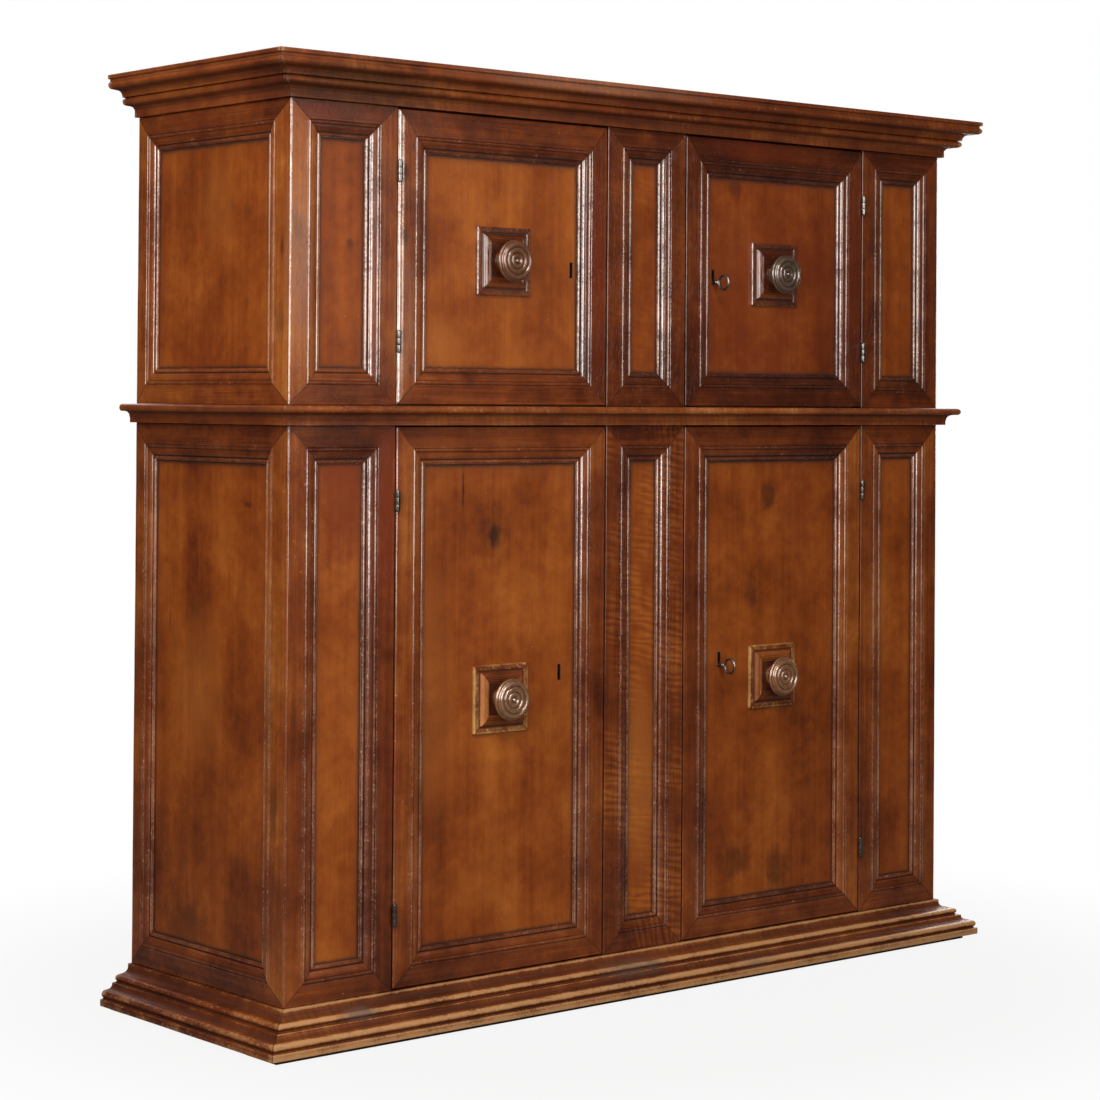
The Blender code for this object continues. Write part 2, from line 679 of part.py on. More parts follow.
def make_lock(name, sign, key, carrier):
    """A rim lock on the door's inner face: a case open towards the door, and its sliding bolt."""
    x, z = key
    near = sign * (DOOR_INNER + LOCK_EDGE)
    far = x + sign * LOCK_BEHIND
    face = BEHIND_FRONT + GLUE_GAP
    bm = box((near, face, z - LOCK_BELOW), (far, face + LOCK_DEPTH, z + LOCK_ABOVE))
    mouth = face_towards(bm, (0, -1, 0))
    bmesh.ops.inset_individual(bm, faces=[mouth], thickness=LOCK_WALL, use_even_offset=True)
    bm.normal_update()
    sink(bm, mouth, LOCK_DEPTH - LOCK_WALL)
    case = add_piece(name + "_lock_case", bm, "lock_iron", carrier=carrier)

    low = Vector((near, face + BOLT_OFFSET, z - BOLT_DROP - BOLT_HEIGHT))
    high = Vector((x + sign * BOLT_BEHIND, face + BOLT_OFFSET + BOLT_THICKNESS, z - BOLT_DROP))
    play = Vector((0, SLIDE_CLEARANCE, SLIDE_CLEARANCE))
    slot_low, slot_high = low - play, high + play
    slot_low.x = near - sign * LOCK_WALL
    slot_high.x = near + 2 * sign * LOCK_WALL
    cut(case, name + "_bolt_slot", box(slot_low, slot_high))

    swing = (BIT_REACH**2 - BOLT_DROP**2) ** 0.5
    notch = swing + BIT_THICKNESS + TALON_PLAY
    middle = x + sign * BOLT_TRAVEL / 2
    depth = BIT_REACH + SLIDE_CLEARANCE * 2
    talon = box(
        (middle - notch, low.y - BOLT_OFFSET, z - depth), (middle + notch, high.y + BOLT_OFFSET, z)
    )
    bolt = combine(name + "_lock_bolt", box(low, high), removed=[talon])
    add_piece(name + "_lock_bolt", bolt, "lock_iron", carrier=carrier)


def make_key(name, key, carrier):
    """A ring bow on a round shank, with its bit standing up behind the panel."""
    x, z = key
    bit_start = BEHIND_FRONT - PANEL_FACE + BOLT_OFFSET - (BIT_WIDTH - BOLT_THICKNESS) / 2
    bit_end = bit_start + BIT_WIDTH
    shank = cylinder(SHANK_RADIUS, -BOW_REACH, bit_end + BOLT_OFFSET, "Y")
    half = BIT_THICKNESS / 2
    bit = box((-half, bit_start, 0), (half, bit_end, BIT_REACH))
    collar = cylinder(COLLAR_RADIUS, -BOW_REACH, -BOW_REACH + COLLAR_LENGTH, "Y")
    bpy.ops.mesh.primitive_torus_add(
        major_radius=BOW_RADIUS,
        minor_radius=BOW_WIRE,
        major_segments=ROUND_STEPS,
        minor_segments=ROUND_STEPS // 2,
        rotation=(0, pi / 2, 0),
    )
    ring = bpy.context.object
    bow = bmesh.new()
    bow.from_mesh(ring.data)
    bmesh.ops.transform(bow, matrix=ring.matrix_world, verts=bow.verts)
    bmesh.ops.translate(bow, vec=(0, -BOW_REACH - BOW_RADIUS, 0), verts=bow.verts)
    bpy.data.objects.remove(ring, do_unlink=True)
    mesh = combine(name + "_key", shank, joined=[collar, bow, bit])
    add_piece(name + "_key", mesh, "lock_iron", at=(x, PANEL_FACE, z), carrier=carrier)


def make_door(tier, hand):
    """All the pieces of one door, under an empty on its hinge axis."""
    sizes = TIERS[tier]
    sign = HANDS[hand]
    name = f"{tier}_{hand}"
    low_z = sizes["bottom"] + DOOR_GAP
    high_z = sizes["top"] - DOOR_GAP
    middle_z = (low_z + high_z) / 2
    key = (sign * (DOOR_INNER + sizes["backset"]), middle_z + sizes["key_rise"])
    axis = bpy.data.objects.new(name + "_door_axis", None)
    axis.location = (sign * HINGE_X, HINGE_Y, middle_z)
    PARTS.objects.link(axis)
    make_door_frame(name, sign, low_z, high_z, sizes["door_rail"], axis)
    make_panel(name, sign, low_z, high_z, sizes["door_rail"], key, axis)
    make_knob(name, sign, middle_z, axis)
    make_lock(name, sign, key, axis)
    levels = {"top": high_z - sizes["hinge_inset"], "bottom": low_z + sizes["hinge_inset"]}
    make_hinges(name, sign, levels, axis)
    if hand == "right":
        make_key(name, key, axis)


HINGE_MESHES = {sign: make_hinge_meshes(sign) for sign in HANDS.values()}

make_plinth()
make_waist()
make_cornice()
for tier_name in TIERS:
    make_inside(tier_name)
    for pilaster in ("left", "centre", "right"):
        make_pilaster(tier_name, pilaster)
    for side_hand in HANDS:
        make_side(tier_name, side_hand)
        make_door(tier_name, side_hand)
bpy.context.view_layer.update()
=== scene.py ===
# %% [markdown]
# # A two-part walnut sideboard
#
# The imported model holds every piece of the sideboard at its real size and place, on the body that it moves
# with. This lesson dresses it. Each step reads a piece's box from the frame, works out the surface that the
# real piece has, and puts that surface where the plain solid is.

import bpy
import numpy as np
from mathutils import Matrix, Vector


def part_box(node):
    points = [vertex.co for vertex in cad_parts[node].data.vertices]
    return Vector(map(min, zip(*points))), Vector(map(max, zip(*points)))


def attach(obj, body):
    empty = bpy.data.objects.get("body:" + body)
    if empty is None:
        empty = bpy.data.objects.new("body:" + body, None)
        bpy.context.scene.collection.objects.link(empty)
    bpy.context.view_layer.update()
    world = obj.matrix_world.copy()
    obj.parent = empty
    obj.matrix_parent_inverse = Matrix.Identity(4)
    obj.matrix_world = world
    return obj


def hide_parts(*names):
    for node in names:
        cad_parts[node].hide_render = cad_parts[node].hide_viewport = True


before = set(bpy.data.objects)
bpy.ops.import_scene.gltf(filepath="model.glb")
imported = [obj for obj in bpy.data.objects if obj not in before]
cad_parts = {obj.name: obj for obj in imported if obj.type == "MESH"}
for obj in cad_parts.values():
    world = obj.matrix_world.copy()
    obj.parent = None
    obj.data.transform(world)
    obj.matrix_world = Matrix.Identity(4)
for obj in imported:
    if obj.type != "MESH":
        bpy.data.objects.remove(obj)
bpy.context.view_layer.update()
TIERS = ("lower", "upper")
HANDS = {"left": -1, "right": 1}
DOORS = tuple(f"{tier}_{hand}" for tier in TIERS for hand in HANDS)

# %% [markdown]
# ## The camera
#
# The photograph was taken from the left with a long lens, and its upright lines stay upright, so the frame
# was shifted and not tilted. Blender's camera has the same two controls: a focal length and a shift. The
# angles, the place and the lens below were found by matching the corners of the cornice, the waist and the
# plinth.

# %% Camera
CAMERA_PLACE = (-3.516, -4.181, 1.144)
CAMERA_YAW, CAMERA_PITCH, CAMERA_ROLL = np.radians([41.08, 0.78, 0.39])
LENS_MM = 88.95
SENSOR_MM = 36.0
LENS_SHIFT = (-0.0654, -0.1684)


def add_object(name, data):
    """A new object at the origin, in the scene's own collection."""
    new = bpy.data.objects.new(name, data)
    bpy.context.scene.collection.objects.link(new)
    return new


def add_camera():
    """A camera looks along its own -Z: it is rolled about that, tipped up about X and turned about Z."""
    lens = bpy.data.cameras.new("studio_camera")
    lens.lens = LENS_MM
    lens.sensor_width = SENSOR_MM
    lens.shift_x, lens.shift_y = LENS_SHIFT
    camera = add_object("studio_camera", lens)
    roll = Matrix.Rotation(CAMERA_ROLL, 4, "Z")
    tip = Matrix.Rotation(np.pi / 2 + CAMERA_PITCH, 4, "X")
    turn = Matrix.Rotation(-CAMERA_YAW, 4, "Z")
    camera.matrix_world = Matrix.Translation(CAMERA_PLACE) @ turn @ tip @ roll
    bpy.context.scene.camera = camera
    return camera


print("camera at", tuple(round(c, 3) for c in add_camera().location))

# %% [markdown]
# ## Shader arithmetic
#
# A finish is a formula: so much figure, plus some streaks, less in the grooves. Written node by node it
# can't be read. A small class wraps a socket so that Python's own operators add the nodes, and one method
# adds every other kind of node. The backdrop and the floor use it too.

# %% Sockets that calculate
NOISE_MIDDLE = 0.5


class Value:
    """A socket that carries a number or a vector; each operator adds one Math or Vector Math node."""

    def __init__(self, nodes, socket):
        self.nodes = nodes
        self.socket = socket

    def combine(self, operation, first, second):
        """One node for two sides: Vector Math where either is a vector, and Math otherwise."""
        vectors = [item.socket.type == "VECTOR" for item in (first, second) if isinstance(item, Value)]
        kind = "VectorMath" if any(vectors) else "Math"
        return self.nodes.node(kind, {"operation": operation}, {0: first, 1: second})

    def __add__(self, other):
        return self.combine("ADD", self, other)

    def __radd__(self, other):
        return self.combine("ADD", other, self)

    def __sub__(self, other):
        return self.combine("SUBTRACT", self, other)

    def __rsub__(self, other):
        return self.combine("SUBTRACT", other, self)

    def __mul__(self, other):
        return self.combine("MULTIPLY", self, other)

    def __rmul__(self, other):
        return self.combine("MULTIPLY", other, self)

    def between(self, low, high, to_low=0.0, to_high=1.0):
        """A smooth step from to_low to to_high as this number goes from low to high."""
        settings = {"interpolation_type": "SMOOTHSTEP"}
        return self.nodes.node("MapRange", settings, {0: self, 1: low, 2: high, 3: to_low, 4: to_high})

    def sway(self, weight):
        """How far this noise lies from its middle, times a weight."""
        return (self - NOISE_MIDDLE) * weight


print("operators that add nodes: + - *")

# %% Nodes of any kind


class Nodes:
    """The nodes of a material or a world, with one method that adds any kind."""

    def __init__(self, owner):
        owner.use_nodes = True
        self.tree = owner.node_tree

    def put(self, socket, value):
        """Link a value to a socket, or set the socket to a number, a vector or a colour."""
        if isinstance(value, Value):
            self.tree.links.new(value.socket, socket)
        elif isinstance(value, (int, float)) and socket.type in ("VECTOR", "RGBA"):
            socket.default_value = [value] * len(socket.default_value)
        elif socket.type == "RGBA":
            socket.default_value = (*value, 1.0)
        else:
            socket.default_value = value

    def node(self, kind, settings=None, inputs=None, output=0):
        """Add a node: its settings first, a ramp's stops among them, then its sockets."""
        new = self.tree.nodes.new("ShaderNode" + kind)
        for key, value in (settings or {}).items():
            if key == "stops":
                self.set_stops(new.color_ramp, value)
            else:
                setattr(new, key, value)
        for key, value in (inputs or {}).items():
            self.put(new.inputs[key], value)
        return Value(self, new.outputs[output])

    @staticmethod
    def set_stops(ramp, stops):
        """Give a ramp one element for each pair of place and colour."""
        while len(ramp.elements) < len(stops):
            ramp.elements.new(1.0)
        for element, (place, colour) in zip(ramp.elements, stops):
            element.position = place
            element.color = (*colour, 1.0)


print("sockets take links, numbers, vectors and colours")

# %% [markdown]
# ## Floor and studio light
#
# The object stands on a pale floor in front of white. The white backdrop is only for the camera: a white
# world on all sides would wash the wood out, so the light that falls on the object comes from a dimmer one.
# In the same way the floor glows white for the camera, and keeps a little shadow near the object.

# %% Backdrop and floor
WHITE = (1.0, 1.0, 1.0)
ROOM_LIGHT = 0.05
FLOOR_REACH = 9.0
FLOOR_COLOUR = (0.14, 0.13, 0.12)
FLOOR_FADE = (0.75, 1.7)
NEAR_GLOW = 0.90


def add_backdrop():
    """White for the camera, and a dimmer room for the light that reaches the wood."""
    world = bpy.data.worlds.new("studio")
    nodes = Nodes(world)
    seen = nodes.node("LightPath", output="Is Camera Ray")
    background = nodes.tree.nodes["Background"].inputs
    nodes.put(background["Strength"], nodes.node("Mix", None, {0: seen, 2: ROOM_LIGHT, 3: 1.0}))
    nodes.put(background["Color"], WHITE)
    bpy.context.scene.world = world


def add_floor():
    """A pale floor that takes the object's shadow near it and runs out into the white backdrop."""
    material = bpy.data.materials.new("pale_floor")
    nodes = Nodes(material)
    place = nodes.node("TexCoord", output="Object")
    distance = nodes.node("VectorMath", {"operation": "LENGTH"}, {0: place}, output="Value")
    glowing = distance.between(*FLOOR_FADE, NEAR_GLOW) * nodes.node("LightPath", output="Is Camera Ray")
    pale = nodes.node("BsdfDiffuse", None, {"Color": FLOOR_COLOUR})
    white = nodes.node("Emission", None, {"Color": WHITE})
    mix = nodes.node("MixShader", None, {0: glowing, 1: pale, 2: white})
    nodes.put(nodes.tree.nodes["Material Output"].inputs["Surface"], mix)
    nodes.tree.nodes.remove(nodes.tree.nodes["Principled BSDF"])
    corners = [(x * FLOOR_REACH, y * FLOOR_REACH, 0) for x, y in ((-1, -1), (1, -1), (1, 1), (-1, 1))]
    mesh = bpy.data.meshes.new("floor")
    mesh.from_pydata(corners, [], [(0, 1, 2, 3)])
    mesh.materials.append(material)
    floor = add_object("floor", mesh)


add_backdrop()
add_floor()
bpy.context.scene.view_settings.view_transform = "Standard"
print("floor:", 2 * FLOOR_REACH, "m wide")

# %% [markdown]
# Waxed walnut shows its shape by what it mirrors. A strip on the left and one far round on the right draw
# the pale lines on the upright ridges. A strip in front lays a sheen on the doors that fades to the right,
# and a high key light brings out the colour of the wood. Boxes above and behind light the other sides.

# %% Soft boxes
AIM = Vector((0.0, 0.0, 0.95))
# azimuth and elevation in degrees, distance and sizes in metres, watts, colour
SOFT_BOXES = {
    "left_soft_box": (-82, 26, 3.1, (1.8, 1.4), 24, (1.0, 0.94, 0.87)),
    "left_strip": (-60, 15, 3.8, (2.1, 2.0), 98, (1.0, 0.95, 0.91)),
    "front_strip": (-13, 8, 4.2, (1.4, 2.0), 68, (1.0, 0.95, 0.90)),
    "sheen_box": (18, 11, 4.5, (0.5, 0.9), 9, (1.0, 0.90, 0.78)),
    "right_strip": (104, 13, 3.6, (2.0, 1.8), 76, (1.0, 0.96, 0.92)),
    "high_key": (-30, 40, 4.8, (1.8, 1.5), 104, (1.0, 0.94, 0.86)),
    "top_soft_box": (0, 84, 3.4, (3.0, 1.6), 12, (1.0, 0.98, 0.96)),
    "rear_soft_box": (172, 35, 4.5, (2.4, 1.8), 60, (1.0, 0.98, 0.96)),
}


def add_soft_box(name, azimuth, elevation, distance, size, power, colour):
    """A rectangular light at an azimuth from the front, towards +X, and an elevation, aimed at the case."""
    turn, rise = np.radians([azimuth, elevation])
    direction = Vector((np.sin(turn) * np.cos(rise), -np.cos(turn) * np.cos(rise), np.sin(rise)))
    light = bpy.data.lights.new(name, "AREA")
    light.shape = "RECTANGLE"
    light.size, light.size_y = size
    light.energy = power
    light.color = colour
    lamp = add_object(name, light)
    lamp.location = AIM + direction * distance
    lamp.rotation_euler = (-direction).to_track_quat("-Z", "Y").to_euler()


for box_name, settings in SOFT_BOXES.items():
    add_soft_box(box_name, *settings)
print("lights:", ", ".join(SOFT_BOXES))

# %% [markdown]
# ## Closed surfaces from arrays
#
# Every new piece is a closed surface on a grid of two parameters: one runs round a profile, the other runs
# along a path. numpy works out the whole grid at once, and `foreach_set` hands it to Blender in one go,
# which is far quicker than adding vertices one by one.
#
# Each point also carries what its finish needs to know: `grain`, its place measured along, across and
# through the wood; `wear`, from -1 in a dirty groove or a painted shade to 1 on a rubbed edge; `tone`, how
# light this board is, painted light included; and `curl`, how much its figure ripples.

# %% Shells
NUMBERS = ("wear", "tone", "curl")


def grid_quads(index, wrap=False):
    """The four-sided faces of a grid of point numbers; with wrap, the last row joins the first."""
    rows = np.vstack([index, index[:1]]) if wrap else index
    return np.stack([rows[:-1, :-1], rows[1:, :-1], rows[1:, 1:], rows[:-1, 1:]], axis=-1).reshape(-1, 4)


def tube_faces(rows, columns, closed=False):
    """Faces of a grid whose rows go round: capped at both ends or, if closed, joined end to end."""
    index = np.arange(rows * columns).reshape(rows, columns)
    if closed:
        return [grid_quads(np.hstack([index, index[:, :1]]), wrap=True)]
    return [grid_quads(index, wrap=True), index[None, :, 0], index[None, ::-1, -1]]


class Shell:
    """One closed surface: its points, its faces and the numbers that its finish reads at each point."""

    def __init__(self, points, faces, grain, *numbers):
        self.points = np.asarray(points, float).reshape(-1, 3)
        self.faces = [np.asarray(face, int) for face in faces]
        self.grain = np.asarray(grain, float).reshape(-1, 3)
        self.numbers = {name: np.zeros(len(self.points)) for name in NUMBERS}
        for name, value in zip(NUMBERS, numbers):
            self.numbers[name][:] = np.ravel(value)
        if self.volume() < 0:
            self.faces = [face[:, ::-1] for face in self.faces]

    def volume(self):
        """A sixth of the sum of each fan triangle's triple product, which is negative inside out."""
        total = 0.0
        for face in self.faces:
            corners = self.points[face]
            cross = np.cross(corners[:, 1:-1], corners[:, 2:])
            total += (corners[:, :1] * cross).sum()
        return total / 6


print("faces of a closed 3 x 4 grid:", len(tube_faces(3, 4, closed=True)[0]))

# %% Pieces
SHARP_ANGLE = np.radians(38)
pieces_made = {}


def add_piece(name, shells, finish, body, slot, *nodes):
    """Put closed shells into one mesh at the origin, on a body, in place of CAD nodes."""
    counts = np.cumsum([0] + [len(shell.points) for shell in shells])
    faces = [face + start for shell, start in zip(shells, counts) for face in shell.faces]
    corners = np.concatenate([face.ravel() for face in faces])
    sizes = np.concatenate([np.full(len(face), face.shape[1]) for face in faces])
    mesh = bpy.data.meshes.new(name)
    mesh.vertices.add(counts[-1])
    mesh.vertices.foreach_set("co", np.concatenate([shell.points for shell in shells]).ravel())
    mesh.loops.add(len(corners))
    mesh.loops.foreach_set("vertex_index", corners)
    mesh.polygons.add(len(sizes))
    mesh.polygons.foreach_set("loop_start", np.cumsum(sizes) - sizes)
    mesh.update(calc_edges=True)
    mesh.shade_smooth()
    mesh.set_sharp_from_angle(angle=SHARP_ANGLE)
    grain = mesh.attributes.new("grain", "FLOAT_VECTOR", "POINT")
    grain.data.foreach_set("vector", np.concatenate([shell.grain for shell in shells]).ravel())
    for number in NUMBERS:
        values = mesh.attributes.new(number, "FLOAT", "POINT")
        values.data.foreach_set("value", np.concatenate([shell.numbers[number] for shell in shells]))
    mesh.materials.append(finish)
    piece = add_object(name, mesh)
    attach(piece, body)
    if nodes:
        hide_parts(*nodes)
    pieces_made[name] = int((sizes - 2).sum())


print("edges sharper than", round(np.degrees(SHARP_ANGLE)), "degrees stay sharp")

# %% [markdown]
# ## Where wood wears
#
# A hand, a cloth and a broom rub what stands out, and dust and wax stay in what lies deep. Painting that
# by hand on every ridge is slow. Instead, a profile is smoothed as a whole, and each point is compared with
# the smooth line: what lies outside it is an edge, what lies inside it is a groove.

# %% Wear along a profile
WEAR_REACH = 0.0030
FULL_WEAR = 0.0011
SAMPLE = 0.0004
LEAST_SAMPLES = 64


def exposure(across, height, reach=WEAR_REACH, full=FULL_WEAR):
    """Signed distance from a closed profile to the same profile blurred by a bell curve, from -1 to 1.

    The profile is written as complex numbers at even spacing, so one Fourier transform blurs both axes.
    """
    outline = np.append(across + 1j * height, across[0] + 1j * height[0])
    travelled = np.concatenate([[0.0], np.cumsum(np.abs(np.diff(outline)))])
    count = max(LEAST_SAMPLES, int(travelled[-1] / SAMPLE))
    even = np.linspace(0, travelled[-1], count, endpoint=False)
    curve = np.interp(even, travelled, outline.real) + 1j * np.interp(even, travelled, outline.imag)
    frequency = np.fft.fftfreq(count, travelled[-1] / count)
    smooth = np.fft.ifft(np.fft.fft(curve) * np.exp(-2 * (np.pi * frequency * reach) ** 2))
    tangent = np.roll(smooth, -1) - np.roll(smooth, 1)
    area = (np.roll(curve, 1).conj() * curve).imag.sum()
    outward = -1j * np.sign(area) * tangent / np.maximum(np.abs(tangent), 1e-9)
    stand = ((curve - smooth) * outward.conj()).real
    return np.clip(np.interp(travelled[:-1], even, stand, period=travelled[-1]) / full, -1, 1)


def arc(centre, radii, start, end, steps=8, first=False):
    """Points on an ellipse from one angle to another, in degrees; the first point only if it is wanted."""
    turns = np.radians(np.linspace(start, end, steps + 1)[0 if first else 1:])
    return [(centre[0] + radii[0] * np.cos(turn), centre[1] + radii[1] * np.sin(turn)) for turn in turns]


square = 0.02 * np.array([[0, 1, 1, 0], [0, 0, 1, 1]])
print("wear at the corners of a square bar:", exposure(*square).round(2))

# %% [markdown]
# ## Waxed walnut
#
# Old walnut under wax has four scales of pattern: broad bands where the saw crossed the growth rings, narrow
# streaks, fine fibres, and clouds of darker wax. An image of wood would repeat and stretch over the
# mouldings. Noise measured along the grain does neither: the grain attribute of each board points along
# its own length, so stiles run upright, rails run level, and the figure breaks at every mitre, as it should.

# %% Finishes


class Finish(Nodes):
    """A material with one Principled shader, and short names for the nodes that finishes use."""

    def __init__(self, name):
        self.material = bpy.data.materials.new(name)
        super().__init__(self.material)
        self.shader = self.tree.nodes["Principled BSDF"]
        self.place = self.node("TexCoord", output="Object")
        self.grain = self.attribute("grain", "Vector")
        self.wear = self.attribute("wear")

    def set(self, **sockets):
        """Give the shader's sockets a constant or a link, by name with _ for a space."""
        for key, value in sockets.items():
            self.put(self.shader.inputs[key.replace("_", " ")], value)

    def attribute(self, name, output="Fac"):
        """What the piece's points carry under a name."""
        return self.node("Attribute", {"attribute_name": name}, output=output)

    def noise(self, vector, scale=1.0, detail=3.0, rough=0.5, twist=0.0):
        """Cloud noise from 0 to 1 at a vector."""
        inputs = {"Vector": vector, "Scale": scale, "Detail": detail, "Roughness": rough, "Distortion": twist}
        return self.node("TexNoise", None, inputs)

    def mix(self, share, first, second):
        """A colour between two colours."""
        return self.node("Mix", {"data_type": "RGBA"}, {0: share, 6: first, 7: second}, output=2)

    def bump(self, height, depth, strength):
        """Relief in metres for the shader's normal."""
        inputs = {"Height": height, "Distance": depth, "Strength": strength}
        self.set(Normal=self.node("Bump", None, inputs))


print("a finish reads grain, wear and its place")

# %% Patterns and age of walnut
# how often a pattern repeats in a metre: along the grain, across it and through the board
FIGURE = (0.8, 11.0, 11.0)
STREAKS = (2.2, 95.0, 95.0)
FIBRES = (9.0, 620.0, 620.0)
PORES = (46.0, 1100.0, 1100.0)
RIPPLE_LEAN = (1.0, 0.2, 0.2)
# and how often in every direction
CLOUDS = 5.0
MOTTLE = 34.0
DENTS = 210.0
RIPPLES = 44.0
HOLE_CELLS = 62.0
# the colour of dirt in grooves, and of the painted shade at panel edges, panel tops, gaps and seats
DIRT_AND_SHADE = (0.010, 0.004, 0.0025)
SPECK = (0.016, 0.006, 0.003)
NAIL = (0.42, 0.34, 0.28)


class Walnut(Finish):
    """A finish with the patterns of old walnut, each from 0 to 1, and the steps that build its colour."""

    def __init__(self, name):
        super().__init__(name)
        self.figure = self.noise(self.grain * FIGURE, detail=3.0, rough=0.55, twist=0.6)
        self.streak = self.noise(self.grain * STREAKS, detail=4.0, rough=0.6)
        self.fibre = self.noise(self.grain * FIBRES, detail=2.0)
        self.pore = self.noise(self.grain * PORES, detail=1.0).between(0.62, 0.74)
        self.cloud = self.noise(self.place, CLOUDS, detail=4.0, rough=0.6)
        self.mottle = self.noise(self.place, MOTTLE, detail=4.0, rough=0.65)
        self.dent = self.noise(self.place, DENTS, detail=3.0, rough=0.6)
        waves = {"Vector": self.grain * RIPPLE_LEAN, "Scale": RIPPLES}
        waves.update({"Distortion": 6.0, "Detail": 2.0, "Detail Scale": 1.2})
        self.ripple = self.node("TexWave", {"bands_direction": "DIAGONAL"}, waves, output="Fac")

    def figured(self, ramp, streaks, grained):
        """Every pattern sways a shade about its middle, and a ramp turns the shade into a colour."""
        shade = 0.5 + self.figure.sway(0.50) + self.streak.sway(streaks) + self.fibre.sway(grained)
        shade = shade + self.cloud.sway(0.80) + self.mottle.sway(0.36) + self.attribute("tone") * 0.26
        curly = self.ripple.sway(self.attribute("curl")) * self.cloud.between(0.40, 0.60)
        return self.node("ValToRGB", {"stops": ramp}, {0: shade + curly * 0.20})

    def aged(self, colour, worn, worn_share, dirt_and_shade_share):
        """Ridges turn pale; grooves take dirt and shaded places a painted shade; pores darken; small nicks
        show worn wood.
        """
        rubbed = self.wear + self.dent.sway(0.8) + self.mottle.sway(0.9) + self.cloud.sway(0.9)
        self.rubbed = rubbed.between(0.42, 1.10)
        self.grime_and_shade = (self.mottle.sway(0.6) + self.dent.sway(0.3) - self.wear).between(0.06, 0.75)
        nick = self.dent.between(0.60, 0.70) * (self.wear + self.mottle).between(0.55, 0.95)
        colour = self.mix(self.rubbed * worn_share, colour, worn)
        colour = self.mix(self.grime_and_shade * dirt_and_shade_share, colour, DIRT_AND_SHADE)
        colour = self.mix(self.pore * 0.35, colour, SPECK)
        return self.mix(nick * worn_share, colour, worn)

    def holed(self, colour):
        """Worm holes and nail heads, each in the middle of the few cells that chance picks."""
        cells = {"Vector": self.place, "Scale": HOLE_CELLS}
        from_middle = self.node("TexVoronoi", None, cells)
        chance = self.node("SeparateColor", None, {0: self.node("TexVoronoi", None, cells, output="Color")})
        self.hole = from_middle.between(0.085, 0.055) * chance.between(0.86, 0.90)
        nail = from_middle.between(0.075, 0.050) * chance.between(0.10, 0.07)
        return self.mix(nail * 0.6, self.mix(self.hole * 0.85, colour, SPECK), NAIL)

    def marked(self, colour, marks):
        """Burns, stains, patches, painted sheen and painted shade: ellipsoids with a ragged border, each
        mixed in by its strength.
        """
        ragged = (self.mottle.sway(0.9), self.streak.sway(0.5))
        for mark, spots in marks.items():
            for centre, half, strength in spots:
                scaled = (self.place - centre) * tuple(1 / size for size in half)
                reach = self.node("VectorMath", {"operation": "LENGTH"}, {0: scaled}, output="Value")
                inside = (reach + ragged[0] + ragged[1]).between(1.0, 0.25)
                colour = self.mix(inside * strength, colour, mark)
        return colour


print("walnut patterns from", FIGURE[0], "to", PORES[1], "a metre")

# %% [markdown]
# Noise alone would make every board the same kind of wood. The real case has its own history, so its knots,
# burns, stains, dents and pale patches are placed one by one, as soft ellipsoids in the world's metres. A few
# of them are painted light: a painted sheen on the waxed fronts and a painted shade low on a side panel.

# %% Marks on the boards
GOLDEN = (0.360, 0.130, 0.026)
RED = (0.120, 0.018, 0.004)
# a pale, greyish colour painted where the waxed fronts mirror the light: a painted sheen
PAINTED_SHEEN = (0.330, 0.200, 0.140)
SCUFF = (0.100, 0.075, 0.062)
# place, half sizes (x, y, z) and strength of each burn, stain, dent and painted sheen in the frames, by
# colour
FRAME_MARKS = {SPECK: (
    ((-0.818, -0.220, 1.450), (0.020, 0.03, 0.034), 0.45),
    ((-0.835, -0.196, 1.410), (0.03, 0.009, 0.022), 0.55),
    ((-0.835, -0.190, 1.280), (0.03, 0.022, 0.042), 0.35),
    ((-0.568, -0.220, 1.606), (0.006, 0.02, 0.013), 0.65),
    ((-0.571, -0.220, 1.199), (0.006, 0.02, 0.013), 0.65),
    ((-0.585, -0.220, 1.557), (0.010, 0.02, 0.022), 0.55),
    ((-0.585, -0.220, 1.440), (0.013, 0.02, 0.026), 0.55),
    ((-0.835, -0.185, 0.420), (0.03, 0.016, 0.060), 0.45),
# painted sheen on the stiles of the upper left pilaster and the upper left door
), PAINTED_SHEEN: (
    ((-0.815, -0.220, 1.380), (0.035, 0.03, 0.220), 0.22),
    ((-0.585, -0.220, 1.300), (0.030, 0.03, 0.180), 0.20),
), RED: (
    ((-0.780, -0.220, 1.650), (0.080, 0.03, 0.030), 0.40),
    ((-0.590, -0.220, 1.330), (0.020, 0.03, 0.120), 0.45),
    ((-0.620, -0.220, 0.940), (0.040, 0.03, 0.260), 0.85),
    ((-0.600, -0.220, 0.450), (0.025, 0.03, 0.200), 0.35),
    ((0.300, -0.220, 1.655), (0.200, 0.03, 0.035), 0.45),
    ((0.180, -0.220, 1.400), (0.060, 0.03, 0.300), 0.50),
    ((0.560, -0.220, 1.420), (0.060, 0.03, 0.260), 0.40),
    ((-0.130, -0.220, 1.380), (0.035, 0.03, 0.260), 0.60),
    ((0.100, -0.220, 0.900), (0.030, 0.03, 0.150), 0.40),
    ((-0.835, 0.080, 1.655), (0.03, 0.120, 0.030), 0.35),
)}
